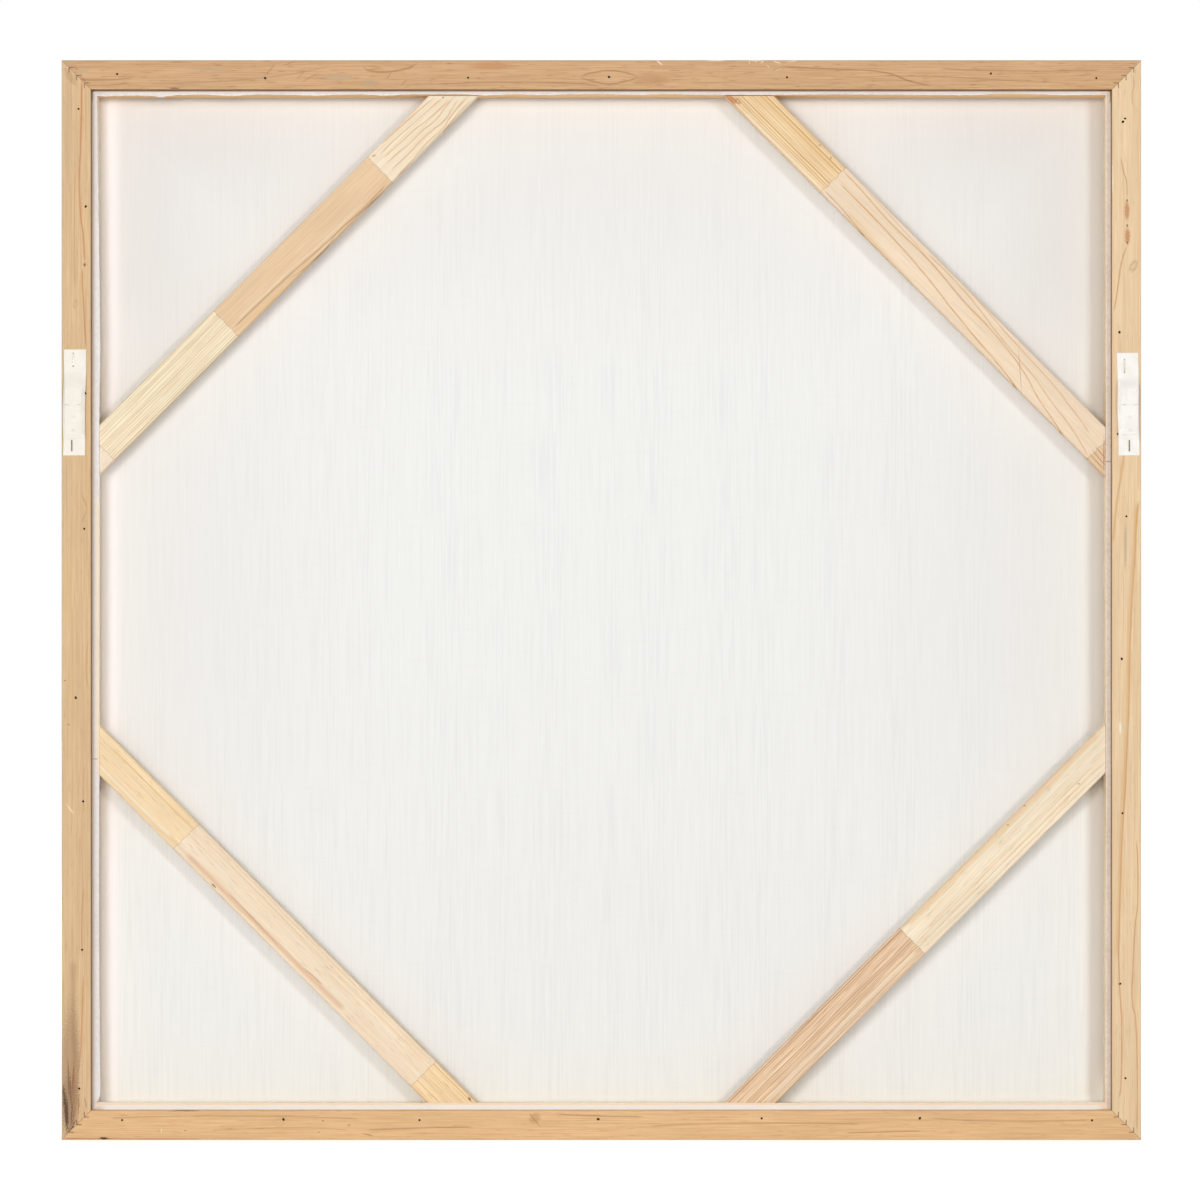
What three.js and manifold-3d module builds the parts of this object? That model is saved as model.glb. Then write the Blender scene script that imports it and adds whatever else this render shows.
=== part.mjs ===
// Stretched canvas in a pine floater frame.
// Millimetres, +Z up. The painted face looks along +Y and the back, with its hangers, along -Y.
// The origin is the middle of the bottom rail's lower face, which is what the canvas stands on.
//
// The frame is a ring of four mitred L-section mouldings. Its rear leg laps behind the stretcher, which is
// held to it by brads from the back, and a narrow float gap is left between the cloth and the frame's wall.

import * as THREE from 'three';
import { mergeVertices } from 'three/addons/utils/BufferGeometryUtils.js';
import Module from 'manifold-3d';

const wasm = await Module();
wasm.setup();

// Overall size
const OVERALL_WIDTH = 1016;
const OVERALL_HEIGHT = 1016;
const FRAME_DEPTH = 45;

// Frame moulding, an L in section: a thin wall beside the canvas and a leg behind it
const FRAME_WALL = 6;
const REAR_LEG_WIDTH = 27.5;
const REAR_LEG_THICKNESS = 10;
const FRAME_ARRIS = 0.6;
const FRAME_MITRE_GAP = 0.3;

// Room between the frame's wall and the cloth on the stretcher's edge
const FLOAT_GAP = 4.5;

// Cloth
const CLOTH_THICKNESS = 0.6;
const CLOTH_CLEARANCE = 0.3;
const CLOTH_BEND = 1.6;

// Stretcher bars
const BAR_WIDTH = 20.6;
const BAR_DEPTH = 30;
const BAR_BEAD_WIDTH = 6;
const BAR_BEVEL_DROP = 2.5;
const BAR_ARRIS = 1;
const BAR_MITRE_GAP = 0.3;

// Corner braces, flat boards across the stretcher's corners
const BRACE_SIDE_LENGTH = 360;
const BRACE_WIDTH = 33;
const BRACE_THICKNESS = 18;
const BRACE_ARRIS = 0.8;
const BRACE_END_GAP = 0.5;

// Brads from the frame's rear leg into the stretcher
const BRAD_HEAD_RADIUS = 0.95;
const BRAD_HEAD_THICKNESS = 0.8;
const BRAD_RADIUS = 0.6;
const BRAD_LENGTH = 25;
const BRAD_POINT = 2;
const BRAD_SINK = 0.7;
const BRAD_FIT = 0.15;

// V-nails that draw the frame's mitres together
const V_NAIL_WING = 4.5;
const V_NAIL_THICKNESS = 0.5;
const V_NAIL_HEIGHT = 7;
const V_NAIL_SINK = 0.2;
const V_NAIL_FIT = 0.15;
const V_NAIL_FIRST_INSET = 7;
const V_NAIL_PITCH = 7.2;

// Staples across the stretcher's mitres
const BAR_STAPLE_CROWN = 11;
const BAR_STAPLE_LEG = 12;
const BAR_STAPLE_INSET = 13;

// Wire that every staple is bent from, and the room round it
const STAPLE_WIRE_WIDTH = 1.2;
const STAPLE_WIRE_THICKNESS = 0.6;
const STAPLE_FIT = 0.15;

// Staples of the hanger covers
const COVER_STAPLE_CROWN = 10.6;
const COVER_STAPLE_LEG = 7;

// D-ring hangers
const HANGER_DROP = 325;
const HANGER_INSET = 11;
const STRAP_THICKNESS = 1.5;
const STRAP_TAIL = 28.5;
const STRAP_SEAT_GAP = 0.2;
const EYE_WALL = 0.9;
const RING_INNER_WIDTH = 10.2;
const RING_WIRE_RADIUS = 1;
const RING_LENGTH = 12.5;
const RING_CORNER_RADIUS = 1.7;
const RING_BUTT_GAP = 0.5;
const RING_RUNNING_GAP = 0.3;
const RING_SIDE_GAP = 0.35;

// Hanger screws
const SCREW_PITCH = 12.5;
const SCREW_FIRST_DROP = 11;
const SCREW_HEAD_RADIUS = 2.9;
const SCREW_HEAD_HEIGHT = 1.4;
const SCREW_RADIUS = 1.5;
const SCREW_LENGTH = 8;
const SCREW_POINT = 2.5;
const SCREW_FIT = 0.2;
const SCREW_RECESS_WIDTH = 0.8;
const SCREW_RECESS_DEPTH = 0.9;

// Hanger covers, soft strips stapled over the hangers
const COVER_THICKNESS = 0.9;
const COVER_SEAT_GAP = 0.3;
const COVER_HEADROOM = 0.5;
const COVER_RISE = 4;
const COVER_EDGE_WAVE = 0.5;
const COVER_LEFT_WAVES = 1.75;
const COVER_RIGHT_WAVES = 1.2;

// Each cover's own cut and place. above and below are its ends from the ring's eye, topShift and bottomShift
// are how far its ends lie to the right of the eye, and each staple is its shift and height from the eye.
const COVERS = {
  left: {
    width: 20.7, above: 52.9, below: 47.1, topShift: 1.8, bottomShift: 0.6,
    staples: { upper: [0, 43.1], lower: [-1.3, -37.8] },
  },
  right: {
    width: 19.9, above: 49.6, below: 47.1, topShift: -1.9, bottomShift: -0.7,
    staples: { upper: [-4.9, 37.4], lower: [-0.3, -37.8] },
  },
};

// How far the cutters run past what they cut
const OVERRUN = 1;

// How close two corners of a mesh lie when they are the same corner
const WELD_DISTANCE = 1e-4;

// How far a ring swings out from the back before it meets its cover, in degrees
const RING_SWING = 10;

// Where the brads sit: an along share, which runs from -1 to 1 over a side's length, and a landing share,
// from 0 to 1 over the part of the rear leg that backs the stretcher bar.
const BRAD_SHARES = {
  bottom: [[-0.888, 0.44], [-0.337, 0.44], [0.297, 0.54], [0.909, 0.43]],
  right: [[-0.886, 0.21], [-0.395, 0.38], [0.155, 0.15], [0.892, 0.23]],
  top: [[-0.917, 0.34], [-0.344, 0.29], [0.247, 0.31], [0.897, 0.1]],
  left: [[-0.91, 0.28], [-0.132, 0.61], [0.373, 0.55], [0.905, 0.32]],
};

// The cloth's cut edge on the back: an along share over the opening's side, and a reach share, which is how
// much of the bar's width the turned-over cloth covers. Above 1 it stands past the bar's inner edge.
const FOLD_SHARES = {
  bottom: [
    [-1, 1], [-0.8, 0.98], [-0.6, 0.97], [-0.42, 0.98], [-0.34, 0.95], [-0.22, 0.95], [-0.12, 0.97],
    [0.1, 0.98], [0.22, 0.95], [0.34, 0.95], [0.42, 0.98], [0.6, 0.97], [0.8, 0.98], [1, 1],
  ],
  right: [
    [-1, 1], [-0.8, 0.97], [-0.6, 0.95], [-0.34, 0.94], [-0.22, 0.94], [0, 0.95], [0.22, 0.94],
    [0.34, 0.93], [0.6, 0.95], [0.8, 0.96], [1, 1],
  ],
  top: [
    [-1, 1], [-0.85, 0.94], [-0.7, 0.97], [-0.5, 0.92], [-0.34, 0.94], [-0.22, 0.93], [0, 0.95],
    [0.22, 0.94], [0.34, 0.94], [0.5, 0.97], [0.65, 0.93], [0.82, 0.96], [0.9, 0.98], [1, 1],
  ],
  left: [
    [-1, 1.02], [-0.9, 1.12], [-0.75, 1.15], [-0.5, 1.14], [-0.4, 1.06], [-0.34, 0.95], [-0.22, 0.94],
    [0, 0.95], [0.22, 0.95], [0.34, 0.95], [0.42, 1.05], [0.6, 1.08], [0.85, 1.09], [1, 1],
  ],
};
const FOLD_STEPS_PER_SIDE = 44;

// Planes in depth, from the back to the front
const backPlane = -FRAME_DEPTH / 2;
const frontPlane = FRAME_DEPTH / 2;
const clothBackPlane = backPlane + REAR_LEG_THICKNESS + CLOTH_CLEARANCE;
const barBackPlane = clothBackPlane + CLOTH_THICKNESS + CLOTH_CLEARANCE;
const barFrontPlane = barBackPlane + BAR_DEPTH;
const clothFrontPlane = barFrontPlane + CLOTH_CLEARANCE + CLOTH_THICKNESS;

// Insets from the outside of the frame
const clothInset = FRAME_WALL + FLOAT_GAP;
const barInset = clothInset + CLOTH_THICKNESS + CLOTH_CLEARANCE;
const openingInset = barInset + BAR_WIDTH;

const PINE_PALE = { color: 0xe6cfa6, roughness: 0.62, metalness: 0 };
const PINE_TAN = { color: 0xd6ad7c, roughness: 0.62, metalness: 0 };
const PINE_BRACE = { color: 0xecd3a8, roughness: 0.66, metalness: 0 };
const PRIMED_CLOTH = { color: 0xefeeea, roughness: 0.9, metalness: 0 };
const COVER_FOAM = { color: 0xf3efe4, roughness: 0.75, metalness: 0 };
const NICKEL = { color: 0xb9b6ae, roughness: 0.32, metalness: 1 };
const BLUED_STEEL = { color: 0x3d3733, roughness: 0.5, metalness: 0.9 };

const part = new THREE.Group();

// Each side is a group that lies with x along the side, anticlockwise seen from the back, and z into the
// opening. The bottom side's group is not turned.
const SIDES = [
  { name: 'bottom', turn: 0, x: 0, z: 0, length: OVERALL_WIDTH },
  { name: 'right', turn: -Math.PI / 2, x: OVERALL_WIDTH / 2, z: OVERALL_HEIGHT / 2, length: OVERALL_HEIGHT },
  { name: 'top', turn: Math.PI, x: 0, z: OVERALL_HEIGHT, length: OVERALL_WIDTH },
  { name: 'left', turn: Math.PI / 2, x: -OVERALL_WIDTH / 2, z: OVERALL_HEIGHT / 2, length: OVERALL_HEIGHT },
];

for (const side of SIDES) {
  side.group = placedGroup(part, side.x, 0, side.z);
  side.group.rotation.y = side.turn;
  side.group.updateWorldMatrix(true, false);
}

// Each corner is named after the two sides that meet there. It lies at the start of its own side.
const CORNERS = [
  { name: 'bottom_left', side: SIDES[0] },
  { name: 'bottom_right', side: SIDES[1] },
  { name: 'top_right', side: SIDES[2] },
  { name: 'top_left', side: SIDES[3] },
];

// Pockets that fasteners need in the wood and the cloth, in the part's own frame
const pockets = [];

function placedGroup(parent, x, y, z) {
  const group = new THREE.Group();
  group.position.set(x, y, z);
  parent.add(group);
  group.updateWorldMatrix(true, false);
  return group;
}

function addPiece(parent, name, geometry, finish) {
  const mesh = new THREE.Mesh(geometry, new THREE.MeshStandardMaterial(finish));
  mesh.name = name;
  parent.add(mesh);
  return mesh;
}

function solidFrom(geometry) {
  const plain = geometry.clone();
  plain.deleteAttribute('normal');
  plain.deleteAttribute('uv');
  const merged = mergeVertices(plain, WELD_DISTANCE);
  const mesh = new wasm.Mesh({
    numProp: 3,
    vertProperties: merged.attributes.position.array,
    triVerts: new Uint32Array(merged.index.array),
  });
  mesh.merge();
  return new wasm.Manifold(mesh);
}

function geometryFrom(solid) {
  const { vertProperties, triVerts } = solid.getMesh();
  const geometry = new THREE.BufferGeometry();
  geometry.setAttribute('position', new THREE.BufferAttribute(vertProperties, 3));
  geometry.setIndex(new THREE.BufferAttribute(triVerts, 1));
  return geometry;
}

// Remembers the room that a fastener in this group takes out of whatever it passes through
function addPocket(group, geometry) {
  group.updateWorldMatrix(true, false);
  const placed = geometry.clone().applyMatrix4(group.matrixWorld);
  placed.computeBoundingBox();
  pockets.push(placed);
}

// The same geometry with every pocket that reaches it cut away
function withPockets(geometry, group) {
  group.updateWorldMatrix(true, false);
  const placed = geometry.clone().applyMatrix4(group.matrixWorld);
  placed.computeBoundingBox();
  let solid = solidFrom(placed);
  for (const pocket of pockets) {
    if (pocket.boundingBox.intersectsBox(placed.boundingBox)) {
      solid = solid.subtract(solidFrom(pocket));
    }
  }
  return geometryFrom(solid).applyMatrix4(group.matrixWorld.clone().invert());
}

function polygon(points) {
  return new THREE.Shape(points.map(([u, v]) => new THREE.Vector2(u, v)));
}

// A polygon run straight along +z
function extruded(points, depth) {
  return new THREE.ExtrudeGeometry(polygon(points), { depth, bevelEnabled: false });
}

// A polygon in x and z, extruded in depth from one plane to another
function plateInDepth(points, fromDepth, toDepth) {
  const geometry = extruded(points, toDepth - fromDepth);
  geometry.rotateX(Math.PI / 2);
  geometry.translate(0, toDepth, 0);
  return geometry;
}

// A section of across and depth, run along x and cut off aslant at both ends: halfLengthAt gives half the
// bar's length at a place across it, which is z.
function slantedBar(section, halfLengthAt) {
  const geometry = extruded(section, 1);
  const place = geometry.attributes.position;
  for (let i = 0; i < place.count; i += 1) {
    const across = place.getX(i);
    const end = 1 - 2 * place.getZ(i);
    place.setXYZ(i, end * halfLengthAt(across), place.getY(i), across);
  }
  return geometry;
}

// A bar of a mitred ring, whose across is the inset from the ring's outline
function mitredBar(section, sideLength, mitreGap) {
  const mitreSetback = mitreGap * Math.SQRT1_2;
  return slantedBar(section, (inset) => sideLength / 2 - inset - mitreSetback);
}

function frameSection() {
  const a = FRAME_ARRIS;
  return [
    [a, backPlane], [REAR_LEG_WIDTH - a, backPlane], [REAR_LEG_WIDTH, backPlane + a],
    [REAR_LEG_WIDTH, backPlane + REAR_LEG_THICKNESS], [FRAME_WALL, backPlane + REAR_LEG_THICKNESS],
    [FRAME_WALL, frontPlane - a], [FRAME_WALL - a, frontPlane], [a, frontPlane], [0, frontPlane - a],
    [0, backPlane + a],
  ];
}

// Flat on the back, with a raised bead along the front edge that keeps the cloth off the rest of the bar
function stretcherSection() {
  const a = BAR_ARRIS;
  const outer = barInset;
  const inner = openingInset;
  return [
    [outer, barBackPlane], [inner - a, barBackPlane], [inner, barBackPlane + a],
    [inner, barFrontPlane - BAR_BEVEL_DROP], [outer + BAR_BEAD_WIDTH, barFrontPlane - a / 2],
    [outer + BAR_BEAD_WIDTH - a, barFrontPlane], [outer + CLOTH_BEND, barFrontPlane],
    [outer, barFrontPlane - CLOTH_BEND],
  ];
}

function addRails() {
  for (const side of SIDES) {
    const upright = side.name === 'left' || side.name === 'right';
    const frameName = `frame_${upright ? 'stile' : 'rail'}_${side.name}`;
    const frameBar = mitredBar(frameSection(), side.length, FRAME_MITRE_GAP);
    addPiece(side.group, frameName, withPockets(frameBar, side.group), upright ? PINE_PALE : PINE_TAN);
    const stretcherBar = mitredBar(stretcherSection(), side.length, BAR_MITRE_GAP);
    addPiece(side.group, `stretcher_bar_${side.name}`, withPockets(stretcherBar, side.group), PINE_PALE);
  }
}

// A flat board across each corner of the stretcher, cut at 45 degrees to butt against both bars
function addBraces() {
  const a = BRACE_ARRIS;
  const front = barBackPlane + BRACE_THICKNESS;
  const section = [
    [a, barBackPlane], [BRACE_WIDTH - a, barBackPlane], [BRACE_WIDTH, barBackPlane + a],
    [BRACE_WIDTH, front - a], [BRACE_WIDTH - a, front], [a, front], [0, front - a], [0, barBackPlane + a],
  ];
  const shortReach = BRACE_SIDE_LENGTH - BRACE_WIDTH * Math.SQRT2;
  const halfLengthAt = (across) => shortReach * Math.SQRT1_2 + across - BRACE_END_GAP * Math.SQRT2;
  for (const corner of CORNERS) {
    const inset = openingInset + shortReach / 2;
    const group = placedGroup(corner.side.group, inset - corner.side.length / 2, 0, inset);
    group.rotation.y = Math.PI / 4;
    addPiece(group, `corner_brace_${corner.name}`, slantedBar(section, halfLengthAt), PINE_BRACE);
  }
}

// Fasteners of the wood

// Turned about the y axis, from the head at the back to the point
function turned(profile, segments) {
  return new THREE.LatheGeometry(profile.map(([r, y]) => new THREE.Vector2(r, y)), segments);
}

function bradBody() {
  const top = backPlane + BRAD_SINK;
  const tip = top + BRAD_LENGTH;
  return turned([
    [0, top], [BRAD_HEAD_RADIUS, top], [BRAD_HEAD_RADIUS, top + BRAD_HEAD_THICKNESS],
    [BRAD_RADIUS, top + BRAD_HEAD_THICKNESS], [BRAD_RADIUS, tip - BRAD_POINT], [0, tip],
  ], 8);
}

function bradPocket() {
  const shoulder = backPlane + BRAD_SINK + BRAD_HEAD_THICKNESS + BRAD_FIT;
  const bottom = backPlane + BRAD_SINK + BRAD_LENGTH + BRAD_FIT;
  const headRadius = BRAD_HEAD_RADIUS + BRAD_FIT;
  const shankRadius = BRAD_RADIUS + BRAD_FIT;
  return turned([
    [0, backPlane - OVERRUN], [headRadius, backPlane - OVERRUN], [headRadius, shoulder],
    [shankRadius, shoulder], [shankRadius, bottom], [0, bottom],
  ], 8);
}

function addBrads() {
  const landing = REAR_LEG_WIDTH - barInset;
  for (const side of SIDES) {
    BRAD_SHARES[side.name].forEach(([alongShare, landingShare], i) => {
      const x = alongShare * side.length / 2;
      const z = barInset + landingShare * landing;
      const group = placedGroup(side.group, x, 0, z);
      addPiece(group, `brad_${side.name}_${i + 1}`, bradBody(), BLUED_STEEL);
      addPocket(group, bradPocket());
    });
  }
}

// The V of a V-nail seen from the back: an L whose wings run along the two mouldings
function vNailOutline(grow) {
  const outer = -V_NAIL_THICKNESS / 2 - grow;
  const inner = V_NAIL_THICKNESS / 2 + grow;
  const tip = V_NAIL_WING + grow;
  return [[outer, outer], [tip, outer], [tip, inner], [inner, inner], [inner, tip], [outer, tip]];
}

function addVNails() {
  for (const corner of CORNERS) {
    for (let i = 0; i < 3; i += 1) {
      const inset = V_NAIL_FIRST_INSET + i * V_NAIL_PITCH;
      const group = placedGroup(corner.side.group, inset - corner.side.length / 2, 0, inset);
      const top = backPlane + V_NAIL_SINK;
      const bottom = top + V_NAIL_HEIGHT;
      const body = plateInDepth(vNailOutline(0), top, bottom);
      const pocket = plateInDepth(vNailOutline(V_NAIL_FIT), backPlane - OVERRUN, bottom + V_NAIL_FIT);
      addPiece(group, `v_nail_${corner.name}_${i + 1}`, body, BLUED_STEEL);
      addPocket(group, pocket);
    }
  }
}

// A staple with its crown along x and its legs going in along +y. seat is how far outside the plane y = 0
// the crown's inner face lies.
function staple(crown, leg, seat) {
  const wire = STAPLE_WIRE_THICKNESS;
  const half = crown / 2;
  const outline = [
    [-half, -seat - wire], [half, -seat - wire], [half, leg], [half - wire, leg], [half - wire, -seat],
    [-half + wire, -seat], [-half + wire, leg], [-half, leg],
  ];
  const geometry = extruded(outline, STAPLE_WIRE_WIDTH);
  geometry.translate(0, 0, -STAPLE_WIRE_WIDTH / 2);
  return geometry;
}

// A block in x and y, as wide in z as a staple's wire with its room
function stapleSlot(fromX, toX, fromY, toY) {
  const slot = new THREE.BoxGeometry(toX - fromX, toY - fromY, STAPLE_WIRE_WIDTH + 2 * STAPLE_FIT);
  slot.translate((fromX + toX) / 2, (fromY + toY) / 2, 0);
  return slot;
}

function addStaple(group, name, crown, leg, seat) {
  const wire = STAPLE_WIRE_THICKNESS;
  const outer = crown / 2 + STAPLE_FIT;
  const inner = crown / 2 - wire - STAPLE_FIT;
  addPiece(group, name, staple(crown, leg, seat), BLUED_STEEL);
  addPocket(group, stapleSlot(-outer, -inner, -seat, leg + STAPLE_FIT));
  addPocket(group, stapleSlot(inner, outer, -seat, leg + STAPLE_FIT));
  if (seat < 0) {
    addPocket(group, stapleSlot(-outer, outer, -STAPLE_FIT, STAPLE_FIT - seat));
  }
}

// One staple across each mitre of the stretcher, sunk just under the cloth
function addBarStaples() {
  const seat = -STAPLE_WIRE_THICKNESS - STAPLE_FIT;
  for (const corner of CORNERS) {
    const inset = barInset + BAR_STAPLE_INSET;
    const group = placedGroup(corner.side.group, inset - corner.side.length / 2, barBackPlane, inset);
    group.rotation.y = Math.PI / 4;
    addStaple(group, `stretcher_staple_${corner.name}`, BAR_STAPLE_CROWN, BAR_STAPLE_LEG, seat);
  }
}

// Cloth

// A block in depth whose front edges are cut back by the bend, centred on the frame
function clothBlock(inset, back, front, bend) {
  const centreHeight = OVERALL_HEIGHT / 2;
  const profile = (half) => [
    [-half, back], [half, back], [half, front - bend], [half - bend, front], [-half + bend, front],
    [-half, front - bend],
  ];
  const halfWidth = OVERALL_WIDTH / 2 - inset;
  const halfHeight = OVERALL_HEIGHT / 2 - inset;
  const along = extruded(profile(halfWidth), 2 * halfHeight);
  along.translate(0, 0, centreHeight - halfHeight);
  const up = extruded(profile(halfHeight), 2 * halfWidth);
  up.rotateY(-Math.PI / 2);
  up.translate(halfWidth, 0, centreHeight);
  return solidFrom(along).intersect(solidFrom(up));
}

// The cut edge of the turned-over cloth, all the way round, as points of x and z
function foldOutline() {
  const insetAt = (reachShare) => barInset + reachShare * BAR_WIDTH;
  const outline = [];
  SIDES.forEach((side, i) => {
    const previous = SIDES[(i + SIDES.length - 1) % SIDES.length];
    const previousEnd = FOLD_SHARES[previous.name].at(-1)[1];
    const shares = FOLD_SHARES[side.name];
    const halfOpening = side.length / 2 - openingInset;
    const edge = new THREE.SplineCurve(shares.map(([along, reach]) => new THREE.Vector2(along, reach)));
    const local = edge.getPoints(FOLD_STEPS_PER_SIDE).slice(1, -1)
      .map((share) => new THREE.Vector3(share.x * halfOpening, 0, insetAt(share.y)));
    const corner = new THREE.Vector3(insetAt(previousEnd) - side.length / 2, 0, insetAt(shares[0][1]));
    for (const point of [corner, ...local]) {
      point.applyMatrix4(side.group.matrixWorld);
      outline.push([point.x, point.z]);
    }
  });
  return outline;
}

// The spare cloth of a corner, folded flat against the upper or lower edge as a triangle
function cornerPleats() {
  const height = clothFrontPlane - clothBackPlane - CLOTH_BEND;
  const outline = [[0, clothBackPlane], [height, clothBackPlane], [0, clothBackPlane + height]];
  const pleats = [];
  for (const side of [SIDES[0], SIDES[2]]) {
    for (const end of [-1, 1]) {
      const edge = side.length / 2 - clothInset;
      const pleat = extruded(outline.map(([u, y]) => [end * (edge - u), y]), 1.5 * CLOTH_THICKNESS);
      pleat.translate(0, 0, clothInset - CLOTH_THICKNESS);
      pleats.push(pleat.applyMatrix4(side.group.matrixWorld));
    }
  }
  return pleats;
}

// One sheet, drawn over the bars' front bead, down their edges and over their backs
function addCloth() {
  const t = CLOTH_THICKNESS;
  const outerBend = CLOTH_BEND + t * (2 - Math.SQRT2);
  const opening = plateInDepth(foldOutline(), clothBackPlane - OVERRUN, clothBackPlane + t + OVERRUN);
  let cloth = clothBlock(clothInset, clothBackPlane, clothFrontPlane, outerBend)
    .subtract(clothBlock(clothInset + t, clothBackPlane + t, clothFrontPlane - t, CLOTH_BEND))
    .subtract(solidFrom(opening));
  for (const pleat of cornerPleats()) {
    cloth = cloth.add(solidFrom(pleat));
  }
  addPiece(part, 'canvas', withPockets(geometryFrom(cloth), part), PRIMED_CLOTH);
}

// Hangers. Each hanger's group has its origin on the back of a stile under the ring's axis, x across, y into
// the wood and z up.

const eyeRadius = RING_WIRE_RADIUS + RING_RUNNING_GAP;
const eyeOuterRadius = eyeRadius + EYE_WALL;
const eyeHeight = STRAP_SEAT_GAP + eyeOuterRadius;
const strapTop = STRAP_SEAT_GAP + STRAP_THICKNESS;
const strapWidth = RING_INNER_WIDTH - 2 * RING_SIDE_GAP;
const screwHeadTop = strapTop + SCREW_FIT + SCREW_HEAD_HEIGHT;
const ringRestTilt = Math.asin((eyeHeight - RING_WIRE_RADIUS - RING_RUNNING_GAP) / RING_LENGTH);
const screwDrops = [SCREW_FIRST_DROP, SCREW_FIRST_DROP + SCREW_PITCH];

// A shape drawn in y and z, run along x and centred there
function extrudedAcross(shape, width) {
  const options = { depth: width, bevelEnabled: false, curveSegments: 14 };
  const geometry = new THREE.ExtrudeGeometry(shape, options);
  const axes = [new THREE.Vector3(0, 1, 0), new THREE.Vector3(0, 0, 1), new THREE.Vector3(1, 0, 0)];
  geometry.applyMatrix4(new THREE.Matrix4().makeBasis(...axes));
  geometry.translate(-width / 2, 0, 0);
  return geometry;
}

// A steel strip with its upper end rolled into an eye round the ring's straight side
function hangerStrap() {
  const plateJoin = -Math.sqrt(eyeOuterRadius ** 2 - (eyeHeight - strapTop) ** 2);
  const startAngle = 0;
  const endAngle = Math.atan2(plateJoin, eyeHeight - strapTop);
  const shape = new THREE.Shape();
  shape.moveTo(-STRAP_SEAT_GAP, -STRAP_TAIL);
  shape.lineTo(-STRAP_SEAT_GAP, 0);
  shape.absarc(-eyeHeight, 0, eyeOuterRadius, startAngle, endAngle, false);
  shape.lineTo(-strapTop, -STRAP_TAIL);
  const hole = new THREE.Path();
  hole.absarc(-eyeHeight, 0, eyeRadius, 0, 2 * Math.PI, false);
  shape.holes.push(hole);
  const plan = new THREE.Shape();
  const half = strapWidth / 2;
  plan.moveTo(half, eyeOuterRadius + OVERRUN);
  plan.lineTo(-half, eyeOuterRadius + OVERRUN);
  plan.lineTo(-half, half - STRAP_TAIL);
  plan.absarc(0, half - STRAP_TAIL, half, Math.PI, 2 * Math.PI, false);
  const planOutline = plan.getPoints(8).map((point) => [point.x, point.y]);
  const trim = plateInDepth(planOutline, -eyeHeight - eyeOuterRadius - OVERRUN, OVERRUN);
  return geometryFrom(solidFrom(extrudedAcross(shape, strapWidth)).intersect(solidFrom(trim)));
}

// A pan head with a cross recess, a shank and a point
function hangerScrew() {
  const top = -screwHeadTop;
  const under = top + SCREW_HEAD_HEIGHT;
  const r = SCREW_HEAD_RADIUS;
  const h = SCREW_HEAD_HEIGHT;
  const tip = under + SCREW_LENGTH;
  const blank = turned([
    [0, top], [0.55 * r, top], [0.88 * r, top + 0.3 * h], [r, top + 0.7 * h], [r, under],
    [SCREW_RADIUS, under], [SCREW_RADIUS, tip - SCREW_POINT], [0, tip],
  ], 16);
  let screw = solidFrom(blank);
  for (const turn of [0, Math.PI / 2]) {
    const slot = new THREE.BoxGeometry(r, 2 * SCREW_RECESS_DEPTH, SCREW_RECESS_WIDTH);
    slot.rotateY(turn);
    slot.translate(0, top, 0);
    screw = screw.subtract(solidFrom(slot));
  }
  return geometryFrom(screw);
}

function screwPocket() {
  const radius = SCREW_RADIUS + SCREW_FIT;
  const bottom = -screwHeadTop + SCREW_HEAD_HEIGHT + SCREW_LENGTH + SCREW_FIT;
  const mouth = -strapTop - SCREW_FIT;
  return turned([[0, mouth], [radius, mouth], [radius, bottom], [0, bottom]], 16);
}

// A D of round wire whose two ends butt in the middle of its straight side, inside the strap's eye
function hangerRing() {
  const half = RING_INNER_WIDTH / 2 + RING_WIRE_RADIUS;
  const corner = RING_CORNER_RADIUS;
  const outline = new THREE.Path();
  outline.moveTo(RING_BUTT_GAP / 2, 0);
  outline.lineTo(half - corner, 0);
  outline.absarc(half - corner, corner, corner, -Math.PI / 2, 0, false);
  outline.lineTo(half, RING_LENGTH - half);
  outline.absarc(0, RING_LENGTH - half, half, 0, Math.PI, false);
  outline.lineTo(-half, corner);
  outline.absarc(-half + corner, corner, corner, Math.PI, 1.5 * Math.PI, false);
  outline.lineTo(-RING_BUTT_GAP / 2, 0);
  const steps = 44;
  const route = outline.getSpacedPoints(steps).map((point) => new THREE.Vector3(point.x, 0, point.y));
  const wire = new THREE.Path().absarc(0, 0, RING_WIRE_RADIUS, 0, 2 * Math.PI, false);
  const section = polygon(wire.getPoints(5).slice(0, -1).map((point) => [point.x, point.y]));
  const extrudePath = new THREE.CatmullRomCurve3(route);
  return new THREE.ExtrudeGeometry(section, { steps, extrudePath, bevelEnabled: false });
}

// How far the cover's inner face stands off the back, as stations of z and height. It is stapled flat at
// both ends and clears the strap, the screw heads, the eye and the ring at the end of its swing.
function coverStations(cover) {
  const swing = THREE.MathUtils.degToRad(RING_SWING);
  const room = COVER_HEADROOM;
  const ringTop = eyeHeight + RING_LENGTH * Math.sin(swing - ringRestTilt) + RING_WIRE_RADIUS + room;
  const eyeTop = eyeHeight + eyeOuterRadius + room;
  const peak = Math.max(ringTop, eyeTop);
  const upperFlat = cover.staples.upper[1] - COVER_STAPLE_CROWN;
  return [
    [-cover.below, COVER_SEAT_GAP],
    [-STRAP_TAIL - COVER_RISE, COVER_SEAT_GAP],
    [-STRAP_TAIL, strapTop + room],
    [-screwDrops[1] - SCREW_HEAD_RADIUS, screwHeadTop + room],
    [-screwDrops[0] + SCREW_HEAD_RADIUS, screwHeadTop + room],
    [-eyeOuterRadius, peak],
    [RING_LENGTH + RING_WIRE_RADIUS, peak],
    [upperFlat, COVER_SEAT_GAP],
    [cover.above, COVER_SEAT_GAP],
  ];
}

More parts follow.
